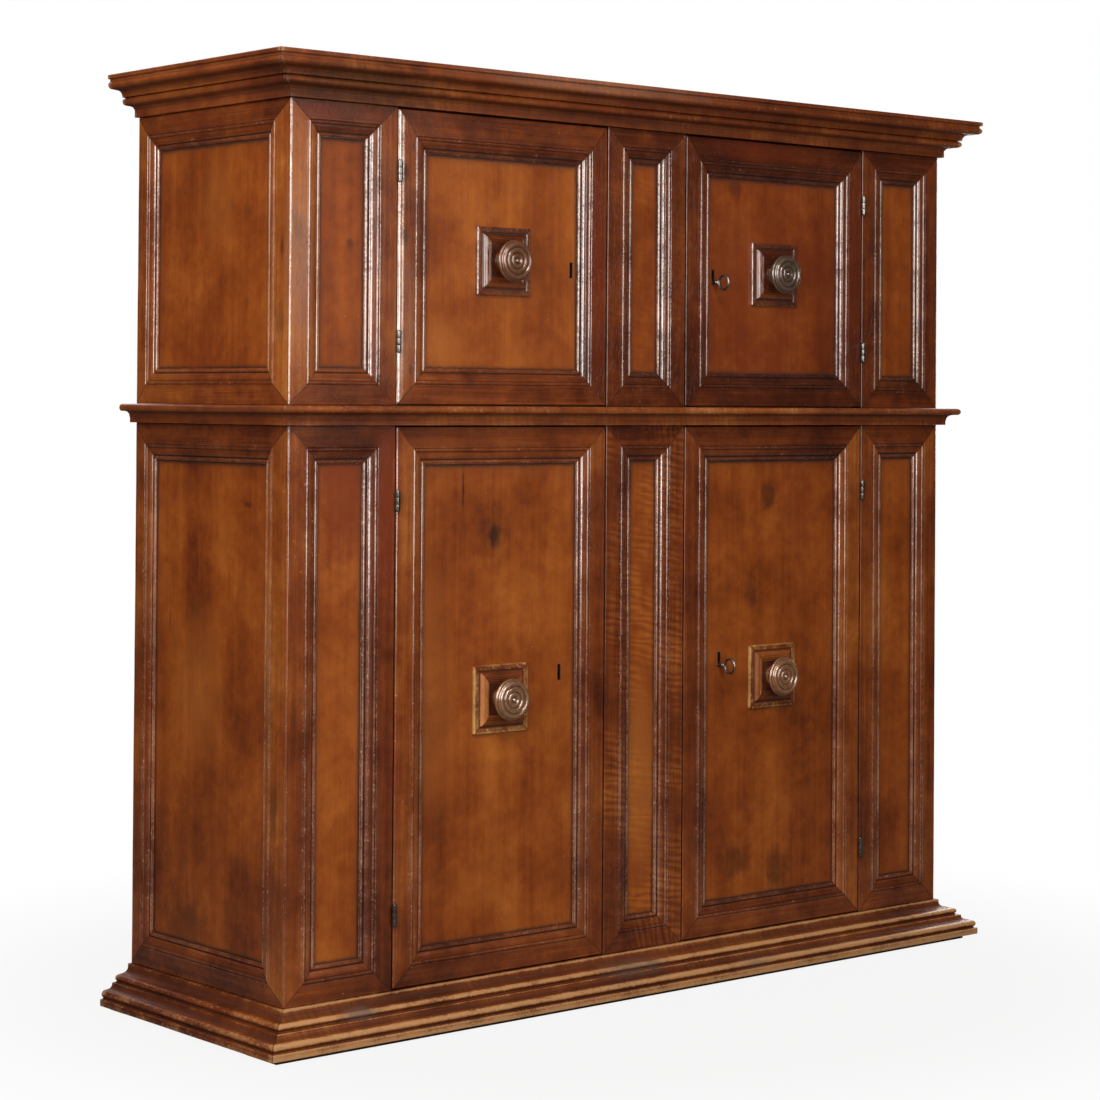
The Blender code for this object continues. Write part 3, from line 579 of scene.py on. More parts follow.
# the same for the knots, stains, cracks, plugs and golden patches in the panels, and one painted shade
PANEL_MARKS = {SPECK: (
    ((-0.367, -0.210, 0.894), (0.020, 0.02, 0.028), 0.80),
    ((-0.367, -0.210, 0.900), (0.060, 0.02, 0.075), 0.30),
    ((-0.441, -0.210, 0.978), (0.0035, 0.02, 0.046), 0.75),
    ((0.244, -0.210, 1.578), (0.030, 0.02, 0.024), 0.60),
    ((0.342, -0.210, 0.957), (0.030, 0.02, 0.046), 0.62),
    ((0.293, -0.210, 0.766), (0.028, 0.02, 0.055), 0.48),
    ((0.256, -0.210, 0.225), (0.060, 0.02, 0.050), 0.45),
    ((0.374, -0.210, 0.193), (0.050, 0.02, 0.060), 0.50),
    ((-0.538, -0.210, 0.336), (0.007, 0.02, 0.017), 0.85),
    ((-0.700, -0.210, 1.424), (0.012, 0.02, 0.014), 0.60),
    ((-0.825, -0.080, 0.955), (0.02, 0.018, 0.008), 0.55),
    ((-0.825, 0.178, 0.728), (0.02, 0.0030, 0.034), 0.55),
    # painted shade: the lower left side panel darkened towards its foot
    ((-0.825, 0.120, 0.180), (0.05, 0.100, 0.080), 0.40),
), GOLDEN: (
    ((-0.825, 0.030, 1.500), (0.05, 0.080, 0.110), 0.15),
    ((-0.825, 0.080, 0.620), (0.05, 0.110, 0.180), 0.20),
    ((-0.500, -0.210, 1.250), (0.080, 0.05, 0.060), 0.20),
    ((-0.520, -0.210, 0.600), (0.080, 0.05, 0.300), 0.20),
    ((0.000, -0.210, 0.420), (0.060, 0.05, 0.240), 0.35),
), RED: (
    ((-0.715, -0.210, 0.980), (0.080, 0.03, 0.200), 0.70),
    ((-0.230, -0.210, 1.250), (0.060, 0.03, 0.080), 0.35),
    ((0.330, -0.210, 1.380), (0.400, 0.03, 0.340), 0.50),
    ((0.330, -0.210, 1.240), (0.180, 0.03, 0.080), 0.45),
    ((0.420, -0.210, 0.920), (0.080, 0.03, 0.150), 0.35),
    ((-0.825, 0.100, 1.230), (0.05, 0.120, 0.060), 0.35),
)}
PLINTH_MARKS = {SCUFF: (
    ((-0.690, -0.250, 0.060), (0.055, 0.03, 0.014), 0.70),
    ((-0.050, -0.265, 0.060), (0.120, 0.05, 0.022), 0.55),
    ((0.250, -0.280, 0.032), (0.070, 0.03, 0.012), 0.45),
)}
# the cornice is dark by its left corner, and a painted sheen pales the top of its front
CORNICE_MARKS = {SPECK: (
    ((-0.700, -0.250, 1.700), (0.260, 0.10, 0.090), 0.60),
), PAINTED_SHEEN: (
    ((-0.200, -0.280, 1.740), (0.420, 0.06, 0.022), 0.22),
)}
print("marks:", sum(len(spots) for marks in (FRAME_MARKS, PANEL_MARKS) for spots in marks.values()))

# %% [markdown]
# Frames, panels, cornice, plinth and knob plates are the same wood with another history: frames are waxed
# and mirror the light, panels are duller and redder, the plinth is worn, and the lower plates are tan.

# %% Walnut finishes
WAX_ROUGHNESS = 0.15
WAX_IOR = 2.3
WOOD_IOR = 1.5
BUMP_STRENGTH = 0.6
FRAME_RAMP = (
    (0.00, (0.014, 0.0032, 0.0012)),
    (0.28, (0.058, 0.0108, 0.0026)),
    (0.50, (0.134, 0.0285, 0.0048)),
    (0.72, (0.230, 0.0640, 0.0100)),
    (1.00, (0.390, 0.1550, 0.0400)),
)
PANEL_RAMP = (
    (0.00, (0.022, 0.0048, 0.0015)),
    (0.28, (0.092, 0.0172, 0.0028)),
    (0.50, (0.185, 0.0405, 0.0048)),
    (0.74, (0.282, 0.0780, 0.0100)),
    (1.00, (0.400, 0.1500, 0.0300)),
)


def walnut(name, worn, ramp=FRAME_RAMP, worn_share=0.5, dirt_and_shade_share=0.9, marks=None, gloss=0.30, grained=0.14,
           streaks=0.30, shine=0.5, polish=0.0, depth=0.0006):
    """Walnut: figure picks a colour, then age, painted shade, holes and marks change it; clouds, dirt and
    shade dull the gloss.
    """
    wood = Walnut(name)
    colour = wood.aged(wood.figured(ramp, streaks, grained), worn, worn_share, dirt_and_shade_share)
    colour = wood.marked(wood.holed(colour), marks or {})
    rough = gloss + wood.cloud.sway(0.18) + wood.streak.sway(0.10)
    rough = rough + wood.grime_and_shade * 0.22 - wood.rubbed * 0.08 + wood.hole * 0.3
    wood.set(Base_Color=colour, Roughness=rough, IOR=WOOD_IOR, Specular_IOR_Level=shine)
    if polish:
        patchy = (wood.mottle + wood.dent + wood.cloud.sway(1.2)).between(0.70, 1.15, 0.12, 1.0)
        waxed = wood.wear.between(0.00, 0.45) * patchy
        wood.set(Coat_Weight=waxed * polish, Coat_Roughness=WAX_ROUGHNESS, Coat_IOR=WAX_IOR)
    relief = wood.fibre * 0.15 + wood.streak * 0.25 + wood.mottle * 0.9 + wood.dent * 0.65
    wood.bump(relief - wood.pore * 0.25 - wood.hole * 1.2, depth, BUMP_STRENGTH)
    return wood.material


# the frames' pale worn colour is wear, and on the upright ridges partly a painted highlight
frame_walnut = walnut("frame_walnut", (0.480, 0.310, 0.220), gloss=0.25, marks=FRAME_MARKS, streaks=0.40,
                      grained=0.26, polish=1.0, depth=0.0009)
panel_walnut = walnut("panel_walnut", (0.300, 0.130, 0.050), PANEL_RAMP, dirt_and_shade_share=0.85, gloss=0.36,
                      marks=PANEL_MARKS, streaks=0.16, shine=0.34)
cornice_walnut = walnut("cornice_walnut", (0.420, 0.270, 0.180), dirt_and_shade_share=0.05, gloss=0.44,
                        marks=CORNICE_MARKS, streaks=0.36, grained=0.22, shine=0.35)
plinth_walnut = walnut("plinth_walnut", (0.410, 0.225, 0.100), worn_share=0.80, dirt_and_shade_share=0.5, gloss=0.40,
                       marks=PLINTH_MARKS, streaks=0.40, grained=0.22, shine=0.25)
plate_finishes = {
    "upper": walnut("dark_plate_walnut", (0.420, 0.230, 0.150), dirt_and_shade_share=0.7, gloss=0.20, shine=1.0,
                    polish=1.0),
    "lower": walnut("tan_plate_walnut", (0.460, 0.270, 0.090), worn_share=0.8, dirt_and_shade_share=0.6, gloss=0.34,
                    shine=0.4, polish=0.25),
}
print("walnut nodes:", len(panel_walnut.node_tree.nodes))

# %% [markdown]
# ## Inner boards, batten and metals
#
# What is inside was never waxed: it is dry, paler and rougher. The knobs are turned bronze with brown
# patina in their grooves and bright rims where hands close on them. Hinges are plain steel, locks and keys
# dark iron. Metal needs little colour, but it needs uneven gloss, so noise goes to the roughness too.

# %% Dry wood
DRY_FIGURE = (0.7, 9.0, 9.0)
DRY_STREAKS = (2.0, 120.0, 120.0)
DRY_CLOUDS = 4.0
DRY_ROUGHNESS = 0.62
DRY_RELIEF = 0.0006
INNER_RAMP = (
    (0.0, (0.070, 0.030, 0.013)),
    (0.5, (0.200, 0.098, 0.046)),
    (1.0, (0.360, 0.210, 0.115)),
)
BLACK_RAMP = (
    (0.0, (0.006, 0.004, 0.003)),
    (0.5, (0.016, 0.010, 0.007)),
    (1.0, (0.040, 0.025, 0.017)),
)


def dry_wood(name, ramp):
    """Unwaxed wood: the same bands and fibres as walnut, with a dusty, rough surface."""
    wood = Finish(name)
    figure = wood.noise(wood.grain * DRY_FIGURE, detail=3.0, twist=0.8)
    streak = wood.noise(wood.grain * DRY_STREAKS, detail=4.0, rough=0.6)
    cloud = wood.noise(wood.place, DRY_CLOUDS, detail=5.0, rough=0.6)
    shade = 0.5 + figure.sway(0.7) + streak.sway(0.5) + cloud.sway(0.5) + wood.attribute("tone") * 0.25
    colour = wood.node("ValToRGB", {"stops": ramp}, {0: shade})
    colour = wood.mix((0.0 - wood.wear).between(0.1, 0.8) * 0.8, colour, DIRT_AND_SHADE)
    wood.set(Base_Color=colour, Roughness=DRY_ROUGHNESS + streak.sway(0.3))
    wood.bump(streak + cloud * 0.5, DRY_RELIEF, BUMP_STRENGTH)
    return wood.material


inner_wood = dry_wood("inner_wood", INNER_RAMP)
batten_wood = dry_wood("batten_wood", BLACK_RAMP)
print("dry woods:", inner_wood.name, batten_wood.name)

# %% Metals
STAINS = 85.0
PITS = 520.0
TOOL_LINES = (3.0, 1500.0, 1500.0)
METAL_RELIEF = 0.00025
METAL_BUMP = 0.5
BRONZE_TOOLED = 0.2
# patina, bright metal, roughness, how metallic it looks and how much wax coats it, by door
BRONZES = {
    "upper_left": ("brown_bronze", (0.062, 0.019, 0.007), (0.200, 0.088, 0.044), 0.34, 0.4, 0.5),
    "upper_right": ("grey_bronze", (0.036, 0.019, 0.010), (0.165, 0.104, 0.072), 0.32, 0.5, 0.7),
    "lower_left": ("pale_bronze", (0.096, 0.034, 0.011), (0.310, 0.160, 0.078), 0.30, 0.4, 0.9),
    "lower_right": ("tan_bronze", (0.100, 0.034, 0.011), (0.340, 0.162, 0.074), 0.30, 0.4, 0.8),
}


def worn_metal(name, dark, bright, rough, metallic=1.0, coat=0.0, tooled=0.0):
    """Metal with patina in its grooves, rubbed edges, stains and fine tool marks round its axis."""
    metal = Finish(name)
    stain = metal.noise(metal.place, STAINS, detail=4.0, rough=0.6)
    pit = metal.noise(metal.place, PITS, detail=2.0)
    lines = metal.noise(metal.grain * TOOL_LINES, detail=2.0)
    share = 0.42 + metal.wear * 0.40 + stain.sway(0.8) + lines.sway(tooled)
    uneven = rough + stain.sway(0.22) - metal.wear * 0.10 + pit.sway(0.10)
    metal.set(Base_Color=metal.mix(share.between(0.0, 1.0), dark, bright), Metallic=metallic)
    metal.set(Roughness=uneven, Coat_Weight=coat, Coat_Roughness=0.16, Coat_IOR=2.0)
    metal.bump(stain * 0.5 + pit * 0.4 + lines * tooled, METAL_RELIEF, METAL_BUMP)
    return metal.material


knob_finishes = {door: worn_metal(*bronze, BRONZE_TOOLED) for door, bronze in BRONZES.items()}
hinge_steel = worn_metal("hinge_steel", (0.020, 0.018, 0.016), (0.20, 0.19, 0.18), 0.36, tooled=0.2)
lock_iron = worn_metal("lock_iron", (0.028, 0.024, 0.022), (0.20, 0.185, 0.17), 0.44)
key_iron = worn_metal("key_iron", (0.040, 0.034, 0.030), (0.36, 0.33, 0.30), 0.34)
print("materials:", len(bpy.data.materials))

# %% [markdown]
# ## Framed faces
#
# Each pilaster, side and door is a frame of two stiles and two rails, mitred like a picture frame, with a
# moulding of three ridges on its inner edge and a sunk panel behind it. A boolean or a bevel on a box would
# give one smooth ring. Four separate bars are truer: a profile is carried along a straight line, and each of
# its points starts and stops where the neighbouring bar has the same point, which is what a mitre is, even
# where a rail is wider than a stile.
#
# A profile point is therefore kept as three numbers: a share of the flat border, a distance added to it, and
# a height. The share is what changes from bar to bar.

# %% Moulding profile
QUIRK = 0.0024
QUIRK_ARRIS = 0.0004
OUTER_BEAD = 0.0070
OVOLO = 0.0135
OVOLO_DROP = 0.0048
OVOLO_SET_DOWN = 0.0017
OVOLO_ARRIS = 0.0006
INNER_BEAD = 0.0060
INNER_BEAD_RISE = 0.0020
INNER_BEAD_SET_DOWN = 0.0010
SIGHT_FILLET = 0.0015
MOULDING = OUTER_BEAD + OVOLO + INNER_BEAD + 2 * SIGHT_FILLET


def moulding_points():
    """(distance inwards, height): a quirk, a bead, a falling ovolo and a low bead beside the panel."""
    ovolo_end = OUTER_BEAD + OVOLO
    top = -OVOLO_SET_DOWN
    foot = top - OVOLO_DROP - INNER_BEAD_SET_DOWN
    points = [(-QUIRK_ARRIS, 0.0), (0.0, -QUIRK_ARRIS), (0.0, -QUIRK)]
    points += arc((OUTER_BEAD / 2, -QUIRK), (OUTER_BEAD / 2, QUIRK), 180, 0)
    points += [(OUTER_BEAD, top - OVOLO_ARRIS), (OUTER_BEAD + OVOLO_ARRIS, top)]
    points += arc((OUTER_BEAD, top - OVOLO_DROP), (OVOLO, OVOLO_DROP), 87, 0)
    inner_start = ovolo_end + SIGHT_FILLET
    points += [(ovolo_end, foot), (inner_start, foot)]
    points += arc((inner_start + INNER_BEAD / 2, foot), (INNER_BEAD / 2, INNER_BEAD_RISE), 180, 0)
    return points + [(MOULDING, foot)]


print("moulding width:", round(MOULDING * 1000, 2), "mm,", len(moulding_points()), "points")

# %% Section of a bar
PANEL_RECESS = 0.010
PANEL_REBATE = 0.010
FLAT_SHARES = (0.03, 0.10, 0.25, 0.5, 0.75, 0.90, 0.97)
BACK_SHARES = (0.9, 0.7, 0.5, 0.25)
# how far down a plain edge its first point lies, in depths of its arris
EDGE_START = 2.2
# arris (width, depth), how far it is rubbed, and how far it is polished pale all over, which on the upper
# left hinge edge is partly a painted highlight
PLAIN_EDGE = ((0.0016, 0.0014), 0.12, 0.0)


def frame_bar(arris, thickness, corner):
    """Rows of (share of the border, added distance, height) round a bar, from its outer edge inwards.

    The arris is a quarter of an ellipse, or its half where two boards share one corner.
    """
    width, depth = arris
    edge = [] if corner else [(0.0, -EDGE_START * depth)]
    edge += arc((width, -depth), (width, depth), 135 if corner else 180, 90, 6, first=True)
    rows = [(0.0, 0.0, -thickness)] + [(0.0, *point) for point in edge]
    rows += [(share, width * (1 - share), 0.0) for share in FLAT_SHARES]
    rows += [(1.0, *point) for point in moulding_points()]
    ledge = MOULDING - PANEL_REBATE
    rows += [(1.0, MOULDING, -PANEL_RECESS), (1.0, ledge, -PANEL_RECESS), (1.0, ledge, -thickness)]
    rows += [(share, 0.0, -thickness) for share in BACK_SHARES]
    return np.array(rows)


print("points round a bar:", len(frame_bar(PLAIN_EDGE[0], 0.02, False)))

# %% [markdown]
# A face of the case gets its own directions: u runs along it, v runs up, h stands out of it. The same bars
# then fit the front, the left and the right side. Hand planes leave slow waves, a fraction of a
# millimetre high, which hardly show as shape but bend every reflection.

# %% Faces and planed wood
UP = np.array([0.0, 0.0, 1.0])
OUTWARDS = {"front": (0, -1.0, 0), "left": (-1.0, 0, 0), "right": (1.0, 0, 0)}
# height in metres, radians to a metre of x, y and z, and start of each wave that a plane leaves
PLANE_WAVES = ((0.00016, (19, 23, 9), 0.4), (0.00010, (43, -37, 31), 1.9), (0.00005, (101, 89, -67), 4.2))


class Face:
    """A flat side of a box: u along it, v up, h outwards, all from the box's low corner on that side."""

    def __init__(self, facing, low, high):
        self.along = np.array((1.0, 0, 0) if facing == "front" else (0, 1.0, 0))
        self.out = np.array(OUTWARDS[facing])
        self.origin = np.array(low)
        if facing == "right":
            self.origin[0] = high[0]
        size = np.array(high) - np.array(low)
        self.width = size @ self.along
        self.height = size[2]
        self.thickness = abs(size @ self.out)

    def at(self, u, v, h):
        """World points from the three distances, as arrays or single numbers."""
        u, v, h = (np.asarray(distance)[..., None] for distance in (u, v, h))
        return self.origin + u * self.along + v * UP + h * self.out


def planed(points, out, share=1.0):
    """Points pushed outwards as a hand plane leaves them: by the sum of three slow waves over their place."""
    height = sum(size * np.sin(points @ np.array(pitch) + start) for size, pitch, start in PLANE_WAVES)
    return points + (share * height)[..., None] * np.array(out)


print("plane waves up to", round(1000 * sum(wave[0] for wave in PLANE_WAVES), 2), "mm")

# %% Carried bars
STEP = 0.014
END_LINES = np.array([0.0007, 0.0018, 0.0045])
JOINT_SHADE = 0.0010
JOINT_DIRT = 0.8
CHIP_REACH = 0.006
MOST_WEAR = 1.4
GRAIN_SHIFT = np.array([0.731, 0.417, 0.263])
board_number = iter(range(1000))


def stations(length):
    """Shares of a length from 0 to 1, a step apart, with a few close to both ends for the joint's shade."""
    ends = END_LINES / length
    return np.unique(np.concatenate([np.linspace(0, 1, max(3, int(length / STEP))), ends, 1 - ends]))


def grain_offset():
    """A new place in the wood for each board, so that no two boards share their figure."""
    return GRAIN_SHIFT * next(board_number)


def carried(section, low, high, to_world, tone, curl=0.0, rub=1.0, dirt=0.0, chips=0.0, reach=WEAR_REACH,
            full=FULL_WEAR):
    """A closed bar: section points (across, height), each carried from its own low end to its own high end.

    Rub scales the wear of what stands out, dirt and painted shade are taken from every wear, chips pale the
    wood beside joints.
    """
    across, height = section
    share = stations(float((high - low).mean()))
    along = low[:, None] + (high - low)[:, None] * share
    columns = (np.reshape(values, (-1, 1)) for values in (across, height, tone))
    wide, deep, tone = (np.broadcast_to(column, along.shape) for column in columns)
    to_end = np.minimum(along - low[:, None], high[:, None] - along)
    wear = exposure(across, height, reach, full)
    wear = np.where(wear > 0, wear * rub, wear) - dirt
    wear = wear[:, None] + chips * np.exp(-to_end / CHIP_REACH)
    wear = wear - (JOINT_DIRT + chips) * np.exp(-to_end / JOINT_SHADE)
    grain = np.stack([along, wide, deep], axis=-1) + grain_offset()
    points = to_world(along, wide, deep)
    return Shell(points, tube_faces(*along.shape), grain, np.clip(wear, -1, MOST_WEAR), tone, curl)


print("stations along a metre:", len(stations(1.0)))

# %% Four bars round a face
JOINT_GAP = 0.00012
STILE_RUB_AND_HIGHLIGHT = 1.0
RAIL_RUB_AND_HIGHLIGHT = 0.45
GAP_SHADE = 1.2


def frame_bars(face, margins, tones, edges, corner=None, slant=0.0, curl=0.0):
    """Two stiles and two rails round a face; margins, tones and edges go by side: low, high, bottom, top.

    Upright ridges and wide arrises are rubbed the most, level ones and plain edges much less, and the pale
    colour of the upright ridges is partly a painted highlight. A side that is a corner of the case is cut to
    a long mitre, which leans inwards by slant over the board's thickness.
    """
    limits = {"low": 0.0, "high": face.width, "bottom": 0.0, "top": face.height}
    shells = []
    for side in margins:
        stile = side in ("low", "high")
        start, end = ("bottom", "top") if stile else ("low", "high")
        arris, edge_rub, polish = edges.get(side, PLAIN_EDGE)
        share, added, height = frame_bar(arris, face.thickness, side == corner).T

        def inset_from(edge, gap=0.0):
            """How far each point of the section lies from one edge of the face."""
            inset = share * margins[edge] + added + gap
            return np.maximum(inset, slant * -height / face.thickness) if edge == corner else inset

        def to_world(along, wide, deep):
            """From the bar's directions to the world's; the waves fade out towards the panel's depth."""
            flat = face.at(wide, along, deep) if stile else face.at(along, wide, deep)
            return planed(flat, face.out, np.clip(1 + deep / PANEL_RECESS, 0, 1))

        across = inset_from(side)
        if side in ("high", "top"):
            across = limits[side] - across
        low, high = inset_from(start, JOINT_GAP), limits[end] - inset_from(end, JOINT_GAP)
        # rubbed ridges turn pale: wear, and on the upright ridges partly a painted highlight
        rub = np.where(share < 0.5, edge_rub, STILE_RUB_AND_HIGHLIGHT if stile else RAIL_RUB_AND_HIGHLIGHT)
        rub = np.where(height > -PANEL_RECESS, rub, 0.0)
        # painted shade: the outer faces of the bars, in the gaps between doors and posts, are darkened
        hidden = (share == 0) & (added == 0) & (side != corner)
        rounded = (share == 0) & (added > 0)
        dirt = np.where(hidden, GAP_SHADE, np.where(rounded, -polish, 0.0))
        shells.append(carried((across, height), low, high, to_world, tones[side], curl, rub, dirt))
    return shells


print("mitres are open by", JOINT_GAP * 1000, "mm")

# %% [markdown]
# A panel is a board in the frame's rebate. It is a grid, closed front and back, and some cells can be left
# out: a door's panel has a keyhole. Walls are added wherever a kept cell meets an empty one, so the outer
# edges and the hole come from the same rule. Dirt and painted shade darken its edges beside the moulding,
# and a painted shadow darkens it below its top rail.

# %% Grids with openings
PANEL_STEP = 0.03
EDGE_LINES = np.array([0.0, 0.002, 0.005, 0.010, 0.0115, 0.014, 0.018, 0.026])
OPENING_CLEAR = 0.001
# the step to each neighbour of a cell, and the corners of that side in the order that turns a wall outwards
CELL_SIDES = (
    ((-1, 0), (0, 0), (0, 1)),
    ((1, 0), (1, 1), (1, 0)),
    ((0, -1), (1, 0), (0, 0)),
    ((0, 1), (0, 1), (1, 1)),
)


def grid_lines(low, high, opening=None):
    """Places of grid lines from low to high, closer at both ends, with none inside an opening."""
    even = np.linspace(low, high, max(3, int((high - low) / PANEL_STEP)))
    lines = np.clip(np.concatenate([even, low + EDGE_LINES, high - EDGE_LINES]), low, high)
    if opening:
        outside = (lines <= opening[0] - OPENING_CLEAR) | (lines >= opening[1] + OPENING_CLEAR)
        lines = np.concatenate([lines[outside], opening])
    return np.unique(np.round(lines, 6))


def cells_in(lines, opening):
    """Which cells between neighbouring lines have their middle inside an opening."""
    middle = (lines[1:] + lines[:-1]) / 2
    return (middle > opening[0]) & (middle < opening[1]) if opening else np.zeros(len(middle), bool)


def wall_quads(keep, top, under):
    """A wall on each side of a kept cell that has no kept neighbour there."""
    padded = np.pad(keep, 1)
    walls = []
    for step, start, end in CELL_SIDES:
        neighbour = np.roll(padded, (-step[0], -step[1]), (0, 1))[1:-1, 1:-1]
        cells = np.argwhere(keep & ~neighbour)
        first, last = (tuple((cells + corner).T) for corner in (start, end))
        walls.append(np.stack([top[first], top[last], under[last], under[first]], -1))
    return np.concatenate(walls)


print("lines across a 0.3 m panel:", len(grid_lines(0.0, 0.3)))

# %% Boards
# dirt and painted shade beside the moulding, and a painted shadow below the top rail
EDGE_DIRT_AND_SHADE = 0.85
EDGE_DIRT_AND_SHADE_REACH = 0.0045
TOP_RAIL_SHADOW = 0.20
TOP_RAIL_SHADOW_REACH = 0.030


def panel_board(face, low, high, front, back, opening=(None, None), tone=0.0, curl=0.0, waves=1.0,
                covered=PANEL_REBATE):
    """A board from (u, v) low to high between two heights; the opening is a pair of u and a pair of v.

    Dirt and painted shade fade inwards from its visible edges, and a painted shadow of the rail above
    fades down from its upper edge, each by an exponential.
    """
    lines = [grid_lines(*limits) for limits in zip(low, high, opening)]
    u, v = np.meshgrid(*lines, indexing="ij")
    keep = ~np.logical_and.outer(*(cells_in(*pair) for pair in zip(lines, opening)))
    points = np.stack([planed(face.at(u, v, front), face.out, waves), face.at(u, v, back)])
    top = np.arange(u.size).reshape(u.shape)
    cells = grid_quads(top)[keep.ravel()]
    faces = [cells, (cells + u.size)[:, ::-1], wall_quads(keep, top, top + u.size)]
    edge = np.minimum.reduce([u - low[0], high[0] - u, v - low[1], high[1] - v])
    wear = -EDGE_DIRT_AND_SHADE * np.exp(-np.maximum(edge - covered, 0) / EDGE_DIRT_AND_SHADE_REACH)
    # painted shadow: darker below the board's upper edge
    wear = wear - TOP_RAIL_SHADOW * np.exp(-np.maximum(high[1] - v - covered, 0) / TOP_RAIL_SHADOW_REACH)
    grain = np.stack([v, u, np.full(u.shape, front)], -1) + grain_offset()
    return Shell(points, faces, [grain, grain], [wear, wear], tone, curl)


# the dirt printed here is dirt and painted shade together
print("dirt reaches", EDGE_DIRT_AND_SHADE_REACH * 1000, "mm into a panel")

# %% [markdown]
# ## Pilasters and sides
#
# The frame has the six pilasters and the four sides as plain carved boards. Here each one becomes its four
# bars and its panel. At the front corners, pilaster and side meet in a long mitre, whose arris is rounded
# by use; elsewhere the edges are only broken. No two boards of an old case have one shade, so each face has
# a tone, and some bars depart from it. The tones also carry painted light: a painted sheen on the upper
# left and a painted shadow on the top rails under the cornice and the waist.

# %% Tones of the boards
# how light each framed face is beside the average: its frame, its panel, and what single bars add to that;
# partly the boards' own tones and partly painted light: the upper left faces and the front stile of the
# upper left side are lighter for a painted sheen that fades to the right, and the top rails of the upper
# left pilaster and door darker for a painted shadow under the cornice
FACE_TONES_AND_PAINTED_LIGHT = {
    "upper_left_pilaster": (0.25, -0.15, {"low": 0.10, "high": -0.35, "top": -0.50}),
    "lower_left_pilaster": (0.10, 0.10, {"high": -0.45, "top": -0.20}),
    "upper_centre_pilaster": (-0.40, -0.05, {}),
    "lower_centre_pilaster": (-0.10, 0.05, {}),
    "upper_right_pilaster": (-0.32, -0.08, {}),
    "lower_right_pilaster": (-0.05, -0.05, {"high": 0.25}),
    "upper_left_side": (0.05, 0.0, {"low": 0.80, "high": 0.45, "bottom": 0.40}),
    "lower_left_side": (0.05, -0.05, {"low": 0.30, "high": 0.25}),
    "upper_right_side": (0.0, 0.0, {}),
    "lower_right_side": (0.0, 0.0, {}),
    "upper_left_door": (0.25, 0.25, {"low": 0.10, "high": -0.75, "top": -0.45}),
    "lower_left_door": (0.10, 0.10, {"low": 0.15, "high": -0.10}),
    "upper_right_door": (-0.72, -0.20, {}),
    "lower_right_door": (-0.30, -0.05, {"high": 0.75}),
}
# rails are darker than stiles, the top rails partly for a painted shadow under the cornice and the waist
BAR_TONES_AND_SHADOW = {"low": 0.0, "high": 0.08, "bottom": 0.30, "top": 0.35}
CURLY_FACES = {"lower_centre_pilaster": 1.0, "upper_centre_pilaster": 0.3}


def bar_tones(name):
    """One tone for each bar of a frame: its face's tone, less the bar's darkening and painted shadow, with
    its own departure.
    """
    base, _, added = FACE_TONES_AND_PAINTED_LIGHT[name]
    return {side: base - shade + added.get(side, 0.0) for side, shade in BAR_TONES_AND_SHADOW.items()}


print("darkest frame:", min(FACE_TONES_AND_PAINTED_LIGHT, key=lambda name: FACE_TONES_AND_PAINTED_LIGHT[name][0]))

# %% Pilasters and sides
STILE = 0.038
SIDE_FRONT_STILE = 0.050
SIDE_REAR_STILE = 0.032
BOTTOM_RAIL = 0.036
PILASTER_RAIL = {"lower": 0.039, "upper": 0.035}
CORNER_ARRIS = (0.0026, 0.0026)
CORNER_RUB = {"lower": 0.30, "upper": 0.50}
GLUE_GAP = 0.0003
PANEL_FRONT = -PANEL_RECESS - GLUE_GAP


def margins_of(low, high, rail):
    """The flat border of each bar, by side."""
    return {"low": low, "high": high, "bottom": BOTTOM_RAIL, "top": rail}


def dress_face(name, facing, margins, corner, slant):
    """A pilaster or a side: four bars, and a panel that reaches into their rebate."""
    face = Face(facing, *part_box(name))
    edges = {corner: (CORNER_ARRIS, CORNER_RUB[name.split("_")[0]], 0.0)}
    curl = CURLY_FACES.get(name, 0.0)
    bars = frame_bars(face, margins, bar_tones(name), edges, corner, slant, curl)
    add_piece(name + "_frame", bars, frame_walnut, "carcass", "walnut_frame", name)
    inset = MOULDING - PANEL_REBATE + GLUE_GAP
    low = (margins["low"] + inset, margins["bottom"] + inset)
    high = (face.width - margins["high"] - inset, face.height - margins["top"] - inset)
    board = panel_board(face, low, high, PANEL_FRONT, -face.thickness, tone=FACE_TONES_AND_PAINTED_LIGHT[name][1], curl=curl)
    add_piece(name + "_panel", [board], panel_walnut, "carcass", "walnut_panel", name)


side_low, side_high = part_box("lower_left_side")
front_low, front_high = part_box("lower_left_pilaster")
for tier in TIERS:
    rail = PILASTER_RAIL[tier]
    for place, corner_side in (("left", "low"), ("centre", None), ("right", "high")):
        pilaster = f"{tier}_{place}_pilaster"
        dress_face(pilaster, "front", margins_of(STILE, STILE, rail), corner_side, side_high.x - side_low.x)
    for hand in HANDS:
        side_margins = margins_of(SIDE_FRONT_STILE, SIDE_REAR_STILE, rail)
        dress_face(f"{tier}_{hand}_side", hand, side_margins, "low", front_high.y - front_low.y)
print("framed faces:", len(pieces_made) // 2, "with", sum(pieces_made.values()), "triangles")

# %% [markdown]
# ## Doors
#
# A door is the same frame, loose in its opening, with the keyhole cut through its panel and an iron liner in
# the hole. The hinge edge of the upper left door has been rubbed round over the years, so its arris has a
# radius of its own.

# %% Doors
DOOR_RAIL = {"lower": 0.039, "upper": 0.047}
